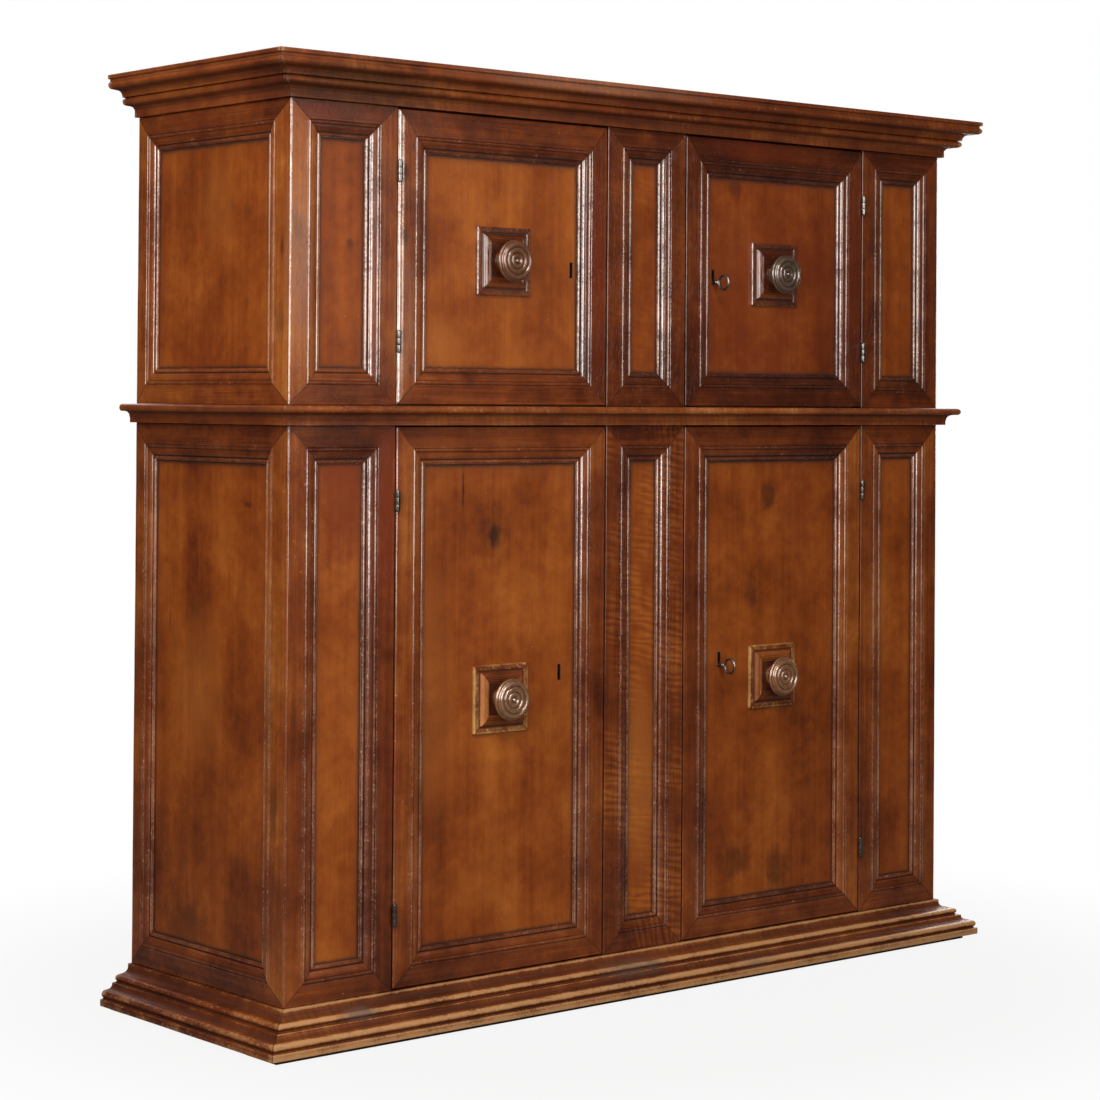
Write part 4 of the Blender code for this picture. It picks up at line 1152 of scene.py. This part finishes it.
# the upper left hinge arris is polished pale: wear, and partly a painted highlight
HINGE_EDGES = {"upper_left": ((0.0130, 0.0040), 0.45, 0.60), "lower_left": ((0.0035, 0.0022), 0.40, 0.0)}
KEYHOLE_HALF = 0.0037
KEYHOLE_BELOW = 0.0042
KEYHOLE_ABOVE = 0.0262
LINER_GAP = 0.0001
LINER_WALL = 0.0011
LINER_STAND = 0.0003
LINER_SHORT = 0.002
LINER_RUB = 0.5
BOW_RADIUS = 0.0140
BOW_WIRE = 0.0026


def key_place(door):
    """x and z of a door's keyhole: a key hangs in each right-hand door, and the left doors mirror it."""
    tier, hand = door.split("_")
    low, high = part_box(f"{tier}_right_key")
    return HANDS[hand] * (low.x + high.x) / 2, low.z + BOW_RADIUS + BOW_WIRE


def shrunk(spans, by):
    """Pairs of start and end, drawn in at both ends."""
    return tuple((start + by, end - by) for start, end in spans)


def dress_door(door):
    """A door's four bars, its panel with the keyhole, and the iron liner of the hole."""
    tier, hand = door.split("_")
    body = door + "_door"
    low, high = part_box(body + "_frame")
    face = Face("front", low, high)
    edges = {"low" if hand == "left" else "high": HINGE_EDGES.get(door, PLAIN_EDGE)}
    bars = frame_bars(face, margins_of(STILE, STILE, DOOR_RAIL[tier]), bar_tones(body), edges)
    add_piece(body + "_bars", bars, frame_walnut, body, "walnut_frame", body + "_frame")

    x, z = key_place(door)
    u, v = x - low.x, z - low.z
    opening = ((u - KEYHOLE_HALF, u + KEYHOLE_HALF), (v - KEYHOLE_BELOW, v + KEYHOLE_ABOVE))
    corners = [(corner.x - low.x, corner.z - low.z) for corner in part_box(body + "_panel")]
    board = panel_board(face, *corners, PANEL_FRONT, -face.thickness, opening, FACE_TONES_AND_PAINTED_LIGHT[body][1])
    add_piece(body + "_board", [board], panel_walnut, body, "walnut_panel", body + "_panel")

    outer = shrunk(opening, LINER_GAP)
    front, back = LINER_STAND - PANEL_RECESS, LINER_SHORT - face.thickness
    liner = panel_board(face, *zip(*outer), front, back, shrunk(outer, LINER_WALL), waves=0.0)
    liner.numbers["wear"][:] = LINER_RUB
    add_piece(door + "_keyhole_liner", [liner], lock_iron, body, "lock_iron")


for door in DOORS:
    dress_door(door)
print("keyholes at", [tuple(round(c, 4) for c in key_place(door)) for door in DOORS])

# %% [markdown]
# ## Plinth, waist and cornice
#
# Three mouldings run round the case: along the front and back along both sides, mitred at the front
# corners. The way is the one of the frame bars: one profile of overhang and level, and every point of it
# runs further past the corner the more it stands out. A profile is written in shares of its overhang and
# its height.

# %% Moulding profiles of the case


def plinth_shares():
    """From below: fascia, torus, cove, fillet, torus, cove and a lip against the case."""
    points = [(0.985, 0.0), (1.0, 0.012), (1.0, 0.165), (0.985, 0.18), (0.92, 0.19)]
    points += arc((0.82, 0.30), (0.14, 0.105), -75, 90)
    points += [(0.76, 0.41)]
    points += arc((0.76, 0.535), (0.14, 0.12), 270, 180)
    points += [(0.62, 0.56), (0.50, 0.57)]
    points += arc((0.39, 0.665), (0.13, 0.09), -70, 90)
    points += [(0.28, 0.765)]
    points += arc((0.28, 0.92), (0.17, 0.145), 270, 180)
    return points + [(0.11, 0.985), (0.095, 1.0)]


def waist_shares():
    """From below: fillet, a cove leaning out, and a rounded nose."""
    points = [(0.37, 0.0), (0.37, 0.25), (0.39, 0.27)]
    points += arc((0.64, 0.27), (0.25, 0.33), 180, 90)
    points += [(0.68, 0.61)]
    return points + arc((0.82, 0.80), (0.18, 0.20), -90, 90)


def cornice_shares():
    """From below: fascia, cove, torus, cove, fillet, a swelling and the top fillet."""
    points = [(0.14, 0.0), (0.14, 0.185), (0.15, 0.195), (0.17, 0.205)]
    points += arc((0.31, 0.205), (0.14, 0.065), 180, 90)
    points += [(0.42, 0.275)]
    points += arc((0.42, 0.37), (0.115, 0.09), -80, 85)
    points += [(0.54, 0.475)]
    points += arc((0.68, 0.475), (0.14, 0.16), 180, 90)
    points += [(0.84, 0.65)]
    points += arc((0.86, 0.75), (0.13, 0.10), -90, 60)
    return points + [(0.93, 0.86), (0.93, 0.885), (0.985, 0.895), (1.0, 0.91), (1.0, 0.985), (0.985, 1.0)]


print("profile points:", len(plinth_shares()), len(waist_shares()), len(cornice_shares()))

# %% Moulding runs
OUTLINE_STEP = 0.004
RUN_FULL_WEAR = 0.0024
RUN_CURL = 0.5
RETURN_SHARE = 0.5
# shares of the overhang: a lip lies within the first, and what feet kick lies beyond the second
LIP = 0.2
NOSE = 0.93
HALF = -side_low.x
REAR = side_high.y
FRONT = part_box("lower_centre_pilaster")[0].y


def refined(points):
    """The same outline with long stretches cut into steps, so that wear can change along them."""
    rows = []
    for start, end in zip(points, points[1:]):
        count = int(np.hypot(*(end - start)) / OUTLINE_STEP) + 2
        rows.append(start + (end - start) * np.linspace(0, 1, count)[:-1, None])
    return np.vstack(rows + [points[-1:]])


def moulding_runs(shares, over, bottom, top, ledge, tones, rub=1.0, chips=0.0, reach=0.006, kicked=0.0,
                  lip_rub=0.3):
    """The left return, the front and the right return of a moulding, as three mitred bars."""
    outline = [(over * out, bottom + (top - bottom) * up) for out, up in shares]
    overhang, level = refined(np.array([(-ledge, bottom), *outline, (-ledge, top)])).T
    lip = np.where(overhang < LIP * over, lip_rub, 1.0)
    shells = []
    for side, tone in tones.items():
        sign = HANDS.get(side, 0)
        use = RETURN_SHARE if sign else 1.0
        if sign:
            low, high = FRONT - overhang + JOINT_GAP, np.full(len(overhang), REAR)
        else:
            high = HALF + overhang - JOINT_GAP
            low = -high

        def to_world(along, wide, deep):
            """A return runs back along a side, the front runs along x; waves only where it stands out."""
            if sign:
                return planed(np.stack([sign * (HALF + wide), along, deep], -1), (sign, 0, 0), wide > 0)
            return planed(np.stack([along, FRONT - wide, deep], -1), (0, -1, 0), wide > 0)

        dirt = np.where(overhang > NOSE * over, -use * kicked, 0.0)
        shells.append(carried((overhang, level), low, high, to_world, tone, 0.0 if sign else RUN_CURL,
                              rub * lip * use, dirt, chips, reach, RUN_FULL_WEAR))
    return shells


print("case:", round(2 * HALF, 4), "m wide, from y", round(FRONT, 4), "to", round(REAR, 4))

# %% [markdown]
# Plain boards are rounded blocks: a rectangle with round corners, carried along the board and drawn in at
# both ends. One function serves battens, planks, hinge leaves and key bits.

# %% Rounded blocks
BLOCK_STEP = 0.12
# distance from a block's end and how far it is drawn in there, in radii
END_PLACES = np.array([0.0, 0.3, 1.0])
END_DRAWS = np.array([0.75, 0.3, 0.0])


def block(low, high, axis, radius=0.0012, tone=0.0, steps=3):
    """A board along an axis: a rounded rectangle, which shrinks by the arris at both ends."""
    low, high = np.minimum(low, high).astype(float), np.maximum(low, high).astype(float)
    others = [k for k in range(3) if k != axis]
    half = (high - low)[others] / 2
    middle = (high + low)[others] / 2
    turn = np.radians(np.concatenate([np.linspace(q, q + 90, steps) for q in (0, 90, 180, 270)]))
    signs = np.repeat([[1, -1, -1, 1], [1, 1, -1, -1]], steps, axis=1)
    start, end = low[axis], high[axis]
    inner = np.linspace(start + radius, end - radius, max(2, int((end - start) / BLOCK_STEP)))[1:-1]
    along = np.concatenate([start + radius * END_PLACES, inner, end - radius * END_PLACES[::-1]])
    draw = radius * np.concatenate([END_DRAWS, np.zeros(len(inner)), END_DRAWS[::-1]])
    grid = np.zeros((len(turn), len(along), 3))
    grid[..., axis] = along
    for k, swing in enumerate((np.cos(turn), np.sin(turn))):
        edge = signs[k] * (half[k] - radius)
        grid[..., others[k]] = middle[k] + edge[:, None] + swing[:, None] * (radius - draw)
    grain = grid[..., [axis, *others]] + grain_offset()
    return Shell(grid, tube_faces(*grid.shape[:2]), grain, 0.0, tone)


print("a block's arris is drawn in by", END_DRAWS[0], "radii")

# %% [markdown]
# The plinth stands on a front and a rear batten, black with age. Brooms and shoes have rubbed its ridges
# golden along the front, and its two returns stayed darker. Waist and cornice were out of reach of both.

# %% Plinth, waist, cornice
PLINTH_LEDGE = 0.050
WAIST_LEDGE = 0.040
CORNICE_LEDGE = 0.032
BATTEN_HEIGHT = 0.010
BATTEN_OVER = 0.044


def dress_moulding(name, node, finish, shares, ledge, core_front, tones, lift=0.0, core_tone=0.0, **wear):
    """Three mitred runs over a node's height, and the plain board between them, from core_front back."""
    low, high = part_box(node)
    bottom, inner = low.z + lift, HALF - ledge
    shells = moulding_runs(shares, high.x - HALF, bottom, high.z, ledge, tones, **wear)
    shells.append(block((-inner, core_front, bottom), (inner, REAR, high.z), 0, tone=core_tone))
    add_piece(name + "_mouldings", shells, finish, "carcass", "walnut_moulding", node)


dress_moulding("plinth", "plinth", plinth_walnut, plinth_shares(), PLINTH_LEDGE, REAR - PLINTH_LEDGE,
               {"left": -0.45, "front": -0.05, "right": -0.2}, BATTEN_HEIGHT, -0.4,
               rub=1.0, chips=0.7, reach=0.008, kicked=0.10, lip_rub=1.0)
batten_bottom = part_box("plinth")[0].z
batten_end = HALF + BATTEN_OVER
battens = [
    block((-batten_end, start, batten_bottom), (batten_end, end, batten_bottom + BATTEN_HEIGHT), 0)
    for start, end in ((FRONT - BATTEN_OVER, FRONT + PLINTH_LEDGE), (REAR - PLINTH_LEDGE, REAR))
]
add_piece("plinth_battens", battens, batten_wood, "carcass", "walnut_moulding", "plinth")
dress_moulding("waist", "waist_board", cornice_walnut, waist_shares(), WAIST_LEDGE, FRONT + WAIST_LEDGE,
               {"left": 0.05, "front": 0.10, "right": 0.0}, rub=0.45, chips=0.5)
dress_moulding("cornice", "cornice", cornice_walnut, cornice_shares(), CORNICE_LEDGE, REAR - CORNICE_LEDGE,
               {"left": 0.0, "front": -0.10, "right": -0.25}, rub=0.25, chips=1.5)
print("mouldings:", {name: count for name, count in pieces_made.items() if "mouldings" in name})

# %% [markdown]
# ## Top and inside boards
#
# The top, the floors, the shelf and the backs are planks, butted and left dry. The backs have six upright
# planks each with a narrow gap, as the solids' grooves show; the others run the length of the case.

# %% Planks
TOP_BOARD = 0.022
TOP_PLANKS = 3
TOP_TONE = 0.2
BACK_PLANKS = 6
FLOOR_PLANKS = 3
SHELF_PLANKS = 2
PLANK_GAP = 0.0012
PLANK_TONE = 0.5
PLANK_TURN = 2.4


def plank_row(node, split_axis, along_axis, count):
    """A node's box as a row of planks side by side, with narrow gaps; a sine varies their tones."""
    low, high = (np.array(corner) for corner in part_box(node))
    edges = np.linspace(low[split_axis], high[split_axis], count + 1)
    shells = []
    for number in range(count):
        start, end = low.copy(), high.copy()
        start[split_axis] = edges[number] + (PLANK_GAP / 2 if number else 0)
        end[split_axis] = edges[number + 1] - (PLANK_GAP / 2 if number < count - 1 else 0)
        tone = PLANK_TONE * np.sin(PLANK_TURN * number + len(node))
        shells.append(block(start, end, along_axis, tone=tone))
    add_piece(node + "_planks", shells, inner_wood, "carcass", "inner_wood", node)


cap_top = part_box("cornice")[1].z
cap_end = HALF - CORNICE_LEDGE
cap_edges = np.linspace(FRONT + CORNICE_LEDGE, REAR - CORNICE_LEDGE, TOP_PLANKS + 1)
planks = []
for number, (start, end) in enumerate(zip(cap_edges, cap_edges[1:])):
    corner = (-cap_end, start + GLUE_GAP, cap_top - TOP_BOARD)
    planks.append(block(corner, (cap_end, end - GLUE_GAP, cap_top), 0, tone=TOP_TONE * (number - 1)))
add_piece("cornice_top_planks", planks, inner_wood, "carcass", "inner_wood", "cornice")
for tier in TIERS:
    plank_row(f"{tier}_back_board", 0, 2, BACK_PLANKS)
    plank_row(f"{tier}_floor_board", 1, 0, FLOOR_PLANKS)
plank_row("lower_shelf", 1, 0, SHELF_PLANKS)
print("plank pieces:", sum("planks" in name for name in pieces_made))

# %% [markdown]
# ## Turned knobs on square plates
#
# A knob comes off a lathe, so it is a profile turned about an axis: here a boss, three rings and a rim of two
# steps, on a thin neck. The plate under it is a small picture frame, and uses the mitred bars again: a
# border, a groove, a ridge that rises inwards, two thin beads and the seat.

# %% Turned pieces
KNOB_STEPS = 96
TURNED_WEAR_REACH = 0.0016
TURNED_FULL_WEAR = 0.0006
TURNED_GRAIN = 0.02
# the rings on a knob's face: middle, half width, base and rise, in shares of its radius and its length
FACE_RINGS = ((0.270, 0.100, 0.895, 0.032), (0.520, 0.115, 0.905, 0.034), (0.775, 0.090, 0.905, 0.038))


def turned(profile, origin, axis, steps=KNOB_STEPS, closed=False):
    """A profile of (radius, height) carried round an axis; an open one is capped at both ends."""
    radius, height = np.array(profile, float).T
    axis = np.array(axis, float)
    side = np.array((1.0, 0, 0)) if abs(axis[0]) < 0.5 else np.array((0, 1.0, 0))
    other = np.cross(axis, side)
    turn = np.linspace(0, 2 * np.pi, steps, endpoint=False)[:, None]
    spokes = np.cos(turn)[..., None] * side + np.sin(turn)[..., None] * other
    points = np.array(origin) + height[None, :, None] * axis + radius[None, :, None] * spokes
    wear = np.tile(exposure(radius, height, TURNED_WEAR_REACH, TURNED_FULL_WEAR), steps)
    grain = np.stack(np.broadcast_arrays(turn * TURNED_GRAIN, radius[None, :], height[None, :]), -1)
    return Shell(points, tube_faces(steps, len(radius), closed), grain, wear)


def knob_profile(radius, length):
    """(radius, height) from the face's middle outwards, round the rim, down the neck to the foot."""
    rows = [(0.0004 / radius, 0.945), (0.05, 0.945), (0.085, 0.915), (0.115, 0.885)]
    for middle, half, base, rise in FACE_RINGS:
        rows += arc((middle, base), (half, rise), 180, 0)
        rows += [(middle + half + 0.02, base - 0.01)]
    rows += arc((0.885, 0.80), (0.055, 0.065), 120, 0, 5)
    rows += [(0.935, 0.745)]
    rows += arc((0.925, 0.675), (0.075, 0.075), 75, -90)
    rows += [(0.86, 0.575), (0.76, 0.53), (0.62, 0.50)]
    rows += arc((0.52, 0.30), (0.16, 0.17), 90, 180, 5)
    rows += [(0.36, 0.20), (0.38, 0.13), (0.53, 0.09), (0.535, 0.03), (0.52, 0.0)]
    return [(radius * across, length * up) for across, up in rows]


print("knob profile points:", len(knob_profile(1.0, 1.0)))

# %% Plates
PLATE_EDGE = 0.006
PLATE_ARRIS = 0.0012
PLATE_BORDER = 0.010
PLATE_GROOVE = 0.0035
PLATE_QUIRK = 0.0015
PLATE_RIDGE = 0.0105
PLATE_RIDGE_RISE = 0.0065
RIDGE_ARRIS = 0.0008
PLATE_BEADS = 2
PLATE_BEAD = 0.0035
PLATE_BEAD_RISE = 0.0014
PLATE_STEP = 0.0015
PLATE_SEAT = 0.007
PLATE_FRAME = 0.0335
# how light each bar of a plate is, and how far its edges are rubbed
PLATE_TONES = {
    "upper_left": {"low": -0.20, "high": -0.30, "bottom": -0.25, "top": -0.75},
    "upper_right": {"low": -0.30, "high": -0.40, "bottom": -0.70, "top": -0.80},
    "lower_left": {"low": 1.30, "high": 0.30, "bottom": 0.10, "top": 0.00},
    "lower_right": {"low": 0.80, "high": 0.00, "bottom": -0.40, "top": 0.30},
}
PLATE_RUBS = {"upper": 0.30, "lower": 0.75}
SHADED_BAR_RUB = 0.6
BORDER_TONE = 0.0
BORDER_RUB = 0.45
BORDER_WORN = {"upper": 0.15, "lower": 0.50}


def plate_rows():
    """(distance inwards, height over the panel): border, groove, a ridge that rises inwards, beads, seat."""
    floor = PLATE_EDGE - PLATE_QUIRK
    foot = PLATE_BORDER + PLATE_GROOVE
    inner = foot + PLATE_RIDGE
    points = [(0, 0), (0, PLATE_EDGE - PLATE_ARRIS), (0.0004, PLATE_EDGE - 0.0004), (PLATE_ARRIS, PLATE_EDGE)]
    points += [(0.003, PLATE_EDGE), (0.006, PLATE_EDGE), (PLATE_BORDER - 0.0006, PLATE_EDGE)]
    points += [(PLATE_BORDER, PLATE_EDGE - 0.0005), (PLATE_BORDER + 0.0004, floor + 0.0002)]
    points += [(PLATE_BORDER + 0.001, floor), (foot - 0.0008, floor), (foot, floor + 0.0006)]
    points += arc((inner - RIDGE_ARRIS, floor), (PLATE_RIDGE - RIDGE_ARRIS, PLATE_RIDGE_RISE), 172, 90, 10)
    level = floor + PLATE_RIDGE_RISE
    points += [(inner - 0.0002, level - 0.0003)]
    for _ in range(PLATE_BEADS):
        level -= PLATE_STEP
        points += [(inner, level)]
        points += arc((inner + PLATE_BEAD / 2, level), (PLATE_BEAD / 2, PLATE_BEAD_RISE), 180, 0)
        inner += PLATE_BEAD
    points += [(inner + 0.0010, PLATE_SEAT), (PLATE_FRAME, PLATE_SEAT), (PLATE_FRAME, 0)]
    return np.array(points)


def plate_bars(face, tones, rub, worn):
    """Four mitred bars of the plate's profile round a square face; the left bar is rubbed the most.

    Worn pales the flat border all over, which lies outside the groove and the ridge.
    """
    inset, height = plate_rows().T
    ridge = inset > PLATE_BORDER + PLATE_GROOVE
    dirt = np.where(inset < PLATE_BORDER, -worn, 0.0)
    shells = []
    for side, tone in tones.items():
        stile = side in ("low", "high")
        size, length = (face.width, face.height) if stile else (face.height, face.width)
        across = inset if side in ("low", "bottom") else size - inset

        def to_world(along, wide, deep):
            """From the bar's directions to the world's."""
            return face.at(wide, along, deep) if stile else face.at(along, wide, deep)

        ends = (inset + JOINT_GAP / 2, length - inset - JOINT_GAP / 2)
        row_tones = np.where(ridge, tone, np.minimum(tone, BORDER_TONE))
        row_rubs = np.where(ridge, rub, BORDER_RUB) * (1.0 if side == "low" else SHADED_BAR_RUB)
        shells.append(carried((across, height), *ends, to_world, row_tones, rub=row_rubs, dirt=dirt))
    return shells


print("plate profile:", len(plate_rows()), "points,", plate_rows()[:, 1].max() * 1000, "mm high")

# %% Knobs and their plates
# painted shadow: the seat under the knob is darkened
SEAT_SHADOW = -0.6


def dress_knob(door):
    """A plate of four bars and a seat, and the knob that is turned about the seat's middle."""
    body, tier, plate = door + "_door", door.split("_")[0], door + "_knob_plate"
    low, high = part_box(plate)
    face = Face("front", (low.x, high.y, low.z), high)
    shells = plate_bars(face, PLATE_TONES[door], PLATE_RUBS[tier], BORDER_WORN[tier])
    inner = PLATE_FRAME + JOINT_GAP
    corners = ((inner, inner), (face.width - inner, face.height - inner))
    shells.append(panel_board(face, *corners, PLATE_SEAT, 0.0, tone=SEAT_SHADOW, waves=0.0, covered=0.0))
    add_piece(door + "_knob_square", shells, plate_finishes[tier], body, "walnut_moulding", plate)
    low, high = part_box(door + "_knob")
    seat = ((low.x + high.x) / 2, high.y, (low.z + high.z) / 2)
    knob = turned(knob_profile((high.x - low.x) / 2, high.y - low.y), seat, (0, -1, 0))
    add_piece(door + "_turned_knob", [knob], knob_finishes[door], body, "knob_bronze", door + "_knob")


for door in DOORS:
    dress_knob(door)
print("knob pieces:", {name: count for name, count in pieces_made.items() if "knob" in name})

# %% [markdown]
# ## Hinges
#
# Each door hangs on two barrel hinges. The barrel is rolled from the leaf: two knuckles belong to the post,
# the middle one to the door, and a pin with a small round head runs through. The middle knuckle is a tube,
# so that the pin really passes through it.

# %% Hinges
BARREL_RADIUS = 0.0050
BARREL_ARRIS = 0.0007
BARREL_STEPS = 32
PIN_RADIUS = 0.0022
PIN_BORE = 0.0026
PIN_HEAD = 0.0036
PIN_DOME = 0.0016
PIN_TIP = 0.0003
PIN_SINK = 0.0001
PIN_STEPS = 24
KNUCKLE_GAP = 0.0002
LEAF_THICKNESS = 0.0012
LEAF_SPACE = 0.0002
LEAF_ARRIS = 0.0003


def knuckle(centre, low, high, bore):
    """A tube with rounded edges between two heights."""
    inner, radii = BARREL_RADIUS - BARREL_ARRIS, (BARREL_ARRIS, BARREL_ARRIS)
    profile = [(bore, low), (inner, low)]
    profile += arc((inner, low + BARREL_ARRIS), radii, -90, 0, 3)
    profile += arc((inner, high - BARREL_ARRIS), radii, 0, 90, 3)
    return turned(profile + [(bore, high)], (*centre, 0), UP, BARREL_STEPS, closed=True)


def pin(centre, low, high):
    """A pin with a low dome on both ends, which shows above and below the barrel."""
    dome = [(PIN_TIP, PIN_DOME)]
    dome += [(PIN_HEAD * np.sin(a), PIN_DOME * np.cos(a)) for a in np.radians([25, 50, 75, 90])]
    profile = [(across, low - up) for across, up in dome]
    profile += [(PIN_RADIUS, low + PIN_SINK), (PIN_RADIUS, high - PIN_SINK)]
    profile += [(across, high + up) for across, up in dome[::-1]]
    return turned(profile, (*centre, 0), UP, PIN_STEPS)


def dress_hinge(door, level):
    """Two knuckles, a pin and a leaf on the post, and the middle knuckle and a leaf on the door."""
    name, sign = f"{door}_{level}", HANDS[door.split("_")[1]]
    post, swinging = name + "_hinge_post", name + "_hinge_leaf"
    low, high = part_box(post)
    axis = ((low.x + high.x) / 2, low.y + BARREL_RADIUS)
    third = (high.z - low.z) / 3

    def leaf(turn):
        """A thin plate from the barrel to the back of the hinge, on one side of the joint."""
        near = axis[0] + turn * LEAF_SPACE / 2
        corner = (near, axis[1] + BARREL_RADIUS, low.z)
        return block(corner, (near + turn * LEAF_THICKNESS, high.y, high.z), 2, LEAF_ARRIS)

    post_shells = [
        knuckle(axis, low.z, low.z + third - KNUCKLE_GAP, PIN_RADIUS),
        knuckle(axis, high.z - third + KNUCKLE_GAP, high.z, PIN_RADIUS),
        pin(axis, low.z, high.z),
        leaf(sign),
    ]
    add_piece(name + "_post_leaf", post_shells, hinge_steel, "carcass", "hinge_steel", post)
    middle = knuckle(axis, low.z + third + KNUCKLE_GAP, high.z - third - KNUCKLE_GAP, PIN_BORE)
    door_shells = [middle, leaf(-sign)]
    add_piece(name + "_door_leaf", door_shells, hinge_steel, door + "_door", "hinge_steel", swinging)


for door in DOORS:
    for level in ("top", "bottom"):
        dress_hinge(door, level)
print("hinge pieces:", sum("_leaf" in name for name in pieces_made))

# %% [markdown]
# ## Keys and locks
#
# A key waits in each right-hand door: a ring to hold, a collar, a round shank and a bit with a notch, which
# pushes the bolt. The ring is a circle carried round a circle. The lock cases and bolts sit behind the doors;
# their solids are already right, so they only get iron and their screws.

# %% Keys
SHANK = 0.0037
COLLAR = 0.0052
KEY_TIP = 0.0006
SHANK_STEPS = 32
BOW_STEPS = 48
BOW_SIDES = 16
BOW_RUB = 0.35
BIT_THICKNESS = 0.0035
BIT_LENGTH = 0.010
BIT_ARRIS = 0.0005
BIT_FOOT = 0.002
NOTCH_LEVEL = 0.0105
# how much of the bit stands beside its notch, on the door's outer and inner side
NOTCH_SIDES = (0.0036, 0.0042)
SHANK_PAST_BIT = 0.003


def key_bow(centre):
    """A torus: a circle of the wire's radius carried round a circle, and rubbed where it is widest."""
    swing = np.linspace(0, 2 * np.pi, BOW_SIDES, endpoint=False)
    wire = np.stack([BOW_RADIUS + BOW_WIRE * np.cos(swing), BOW_WIRE * np.sin(swing)], -1)
    bow = turned(wire, centre, (1, 0, 0), BOW_STEPS, closed=True)
    bow.numbers["wear"] = np.tile(BOW_RUB * np.cos(swing), BOW_STEPS)
    return bow


def dress_key(door):
    """Shank and collar turned about the key's axis, the bow in front of them and a notched bit behind."""
    low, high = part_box(door + "_key")
    x, z = key_place(door)
    start = low.y + 2 * BOW_RADIUS + BOW_WIRE
    length = high.y - start
    shank = [(KEY_TIP, -0.0006), (COLLAR * 0.7, -0.0004), (COLLAR, 0.0006), (COLLAR, 0.0030)]
    shank += [(COLLAR * 0.85, 0.0037), (SHANK * 0.9, 0.0042), (SHANK * 0.9, 0.0052)]
    shank += [(SHANK * 1.15, 0.0060), (SHANK * 1.15, 0.0072), (SHANK * 0.92, 0.0080)]
    shank += [(SHANK * 0.92, length - 0.0012), (SHANK * 0.6, length), (KEY_TIP, length)]
    shells = [turned(shank, (x, start, z), (0, 1, 0), SHANK_STEPS), key_bow((x, start - BOW_RADIUS, z))]
    bit_end = high.y - SHANK_PAST_BIT
    bit_start = bit_end - BIT_LENGTH
    notch = z + NOTCH_LEVEL
    for (front, back), (foot, top) in (
        ((bit_start, bit_end), (z + BIT_FOOT, notch)),
        ((bit_start, bit_start + NOTCH_SIDES[0]), (notch, high.z)),
        ((bit_end - NOTCH_SIDES[1], bit_end), (notch, high.z)),
    ):
        corner = (x - BIT_THICKNESS / 2, front, foot)
        shells.append(block(corner, (x + BIT_THICKNESS / 2, back, top), 2, BIT_ARRIS))
    add_piece(door + "_iron_key", shells, key_iron, door + "_key_body", "lock_iron", door + "_key")


print("key bow:", 2000 * (BOW_RADIUS + BOW_WIRE), "mm across")

# %% Locks
SCREW_RADIUS = 0.0034
SCREW_STEPS = 20
SCREW_INSET = 0.007
# a screw head from its middle outwards and back under it: share of its radius, and height in metres
SCREW_ROWS = ((0.35, 0.0008), (0.45, 0.0013), (0.75, 0.0010), (0.95, 0.0005), (1.0, 0.0), (0.6, -0.0010))
SCREW_TIP = 0.0004


def screw_head(place):
    """A low dome, turned about y, with a sunk middle that stands for the slot."""
    profile = [(SCREW_TIP, 0.0006), *((SCREW_RADIUS * across, up) for across, up in SCREW_ROWS)]
    return turned(profile + [(SCREW_TIP, -0.0010)], place, (0, 1, 0), SCREW_STEPS)


def dress_lock(door):
    """Four screws in the corners of a lock case, and iron on the solids of its case and bolt."""
    low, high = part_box(door + "_lock_case")
    heads = [
        screw_head((x, high.y, z))
        for x in (low.x + SCREW_INSET, high.x - SCREW_INSET)
        for z in (low.z + SCREW_INSET, high.z - SCREW_INSET)
    ]
    add_piece(door + "_lock_screws", heads, hinge_steel, door + "_door", "hinge_steel")
    for node in (door + "_lock_case", door + "_lock_bolt"):
        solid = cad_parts[node]
        solid.data.materials.clear()
        solid.data.materials.append(lock_iron)


for tier in TIERS:
    dress_key(f"{tier}_right")
    for hand in HANDS:
        dress_lock(f"{tier}_{hand}")
print("lock pieces:", sum("lock" in name or "key" in name for name in pieces_made))

# %% [markdown]
# ## Triangles
#
# The last cell counts the dressed model's triangles and pieces. The dressed model has to stay inside
# the solids' box.

# %% Count the triangles
print("triangles:", sum(pieces_made.values()), "in", len(pieces_made), "pieces")
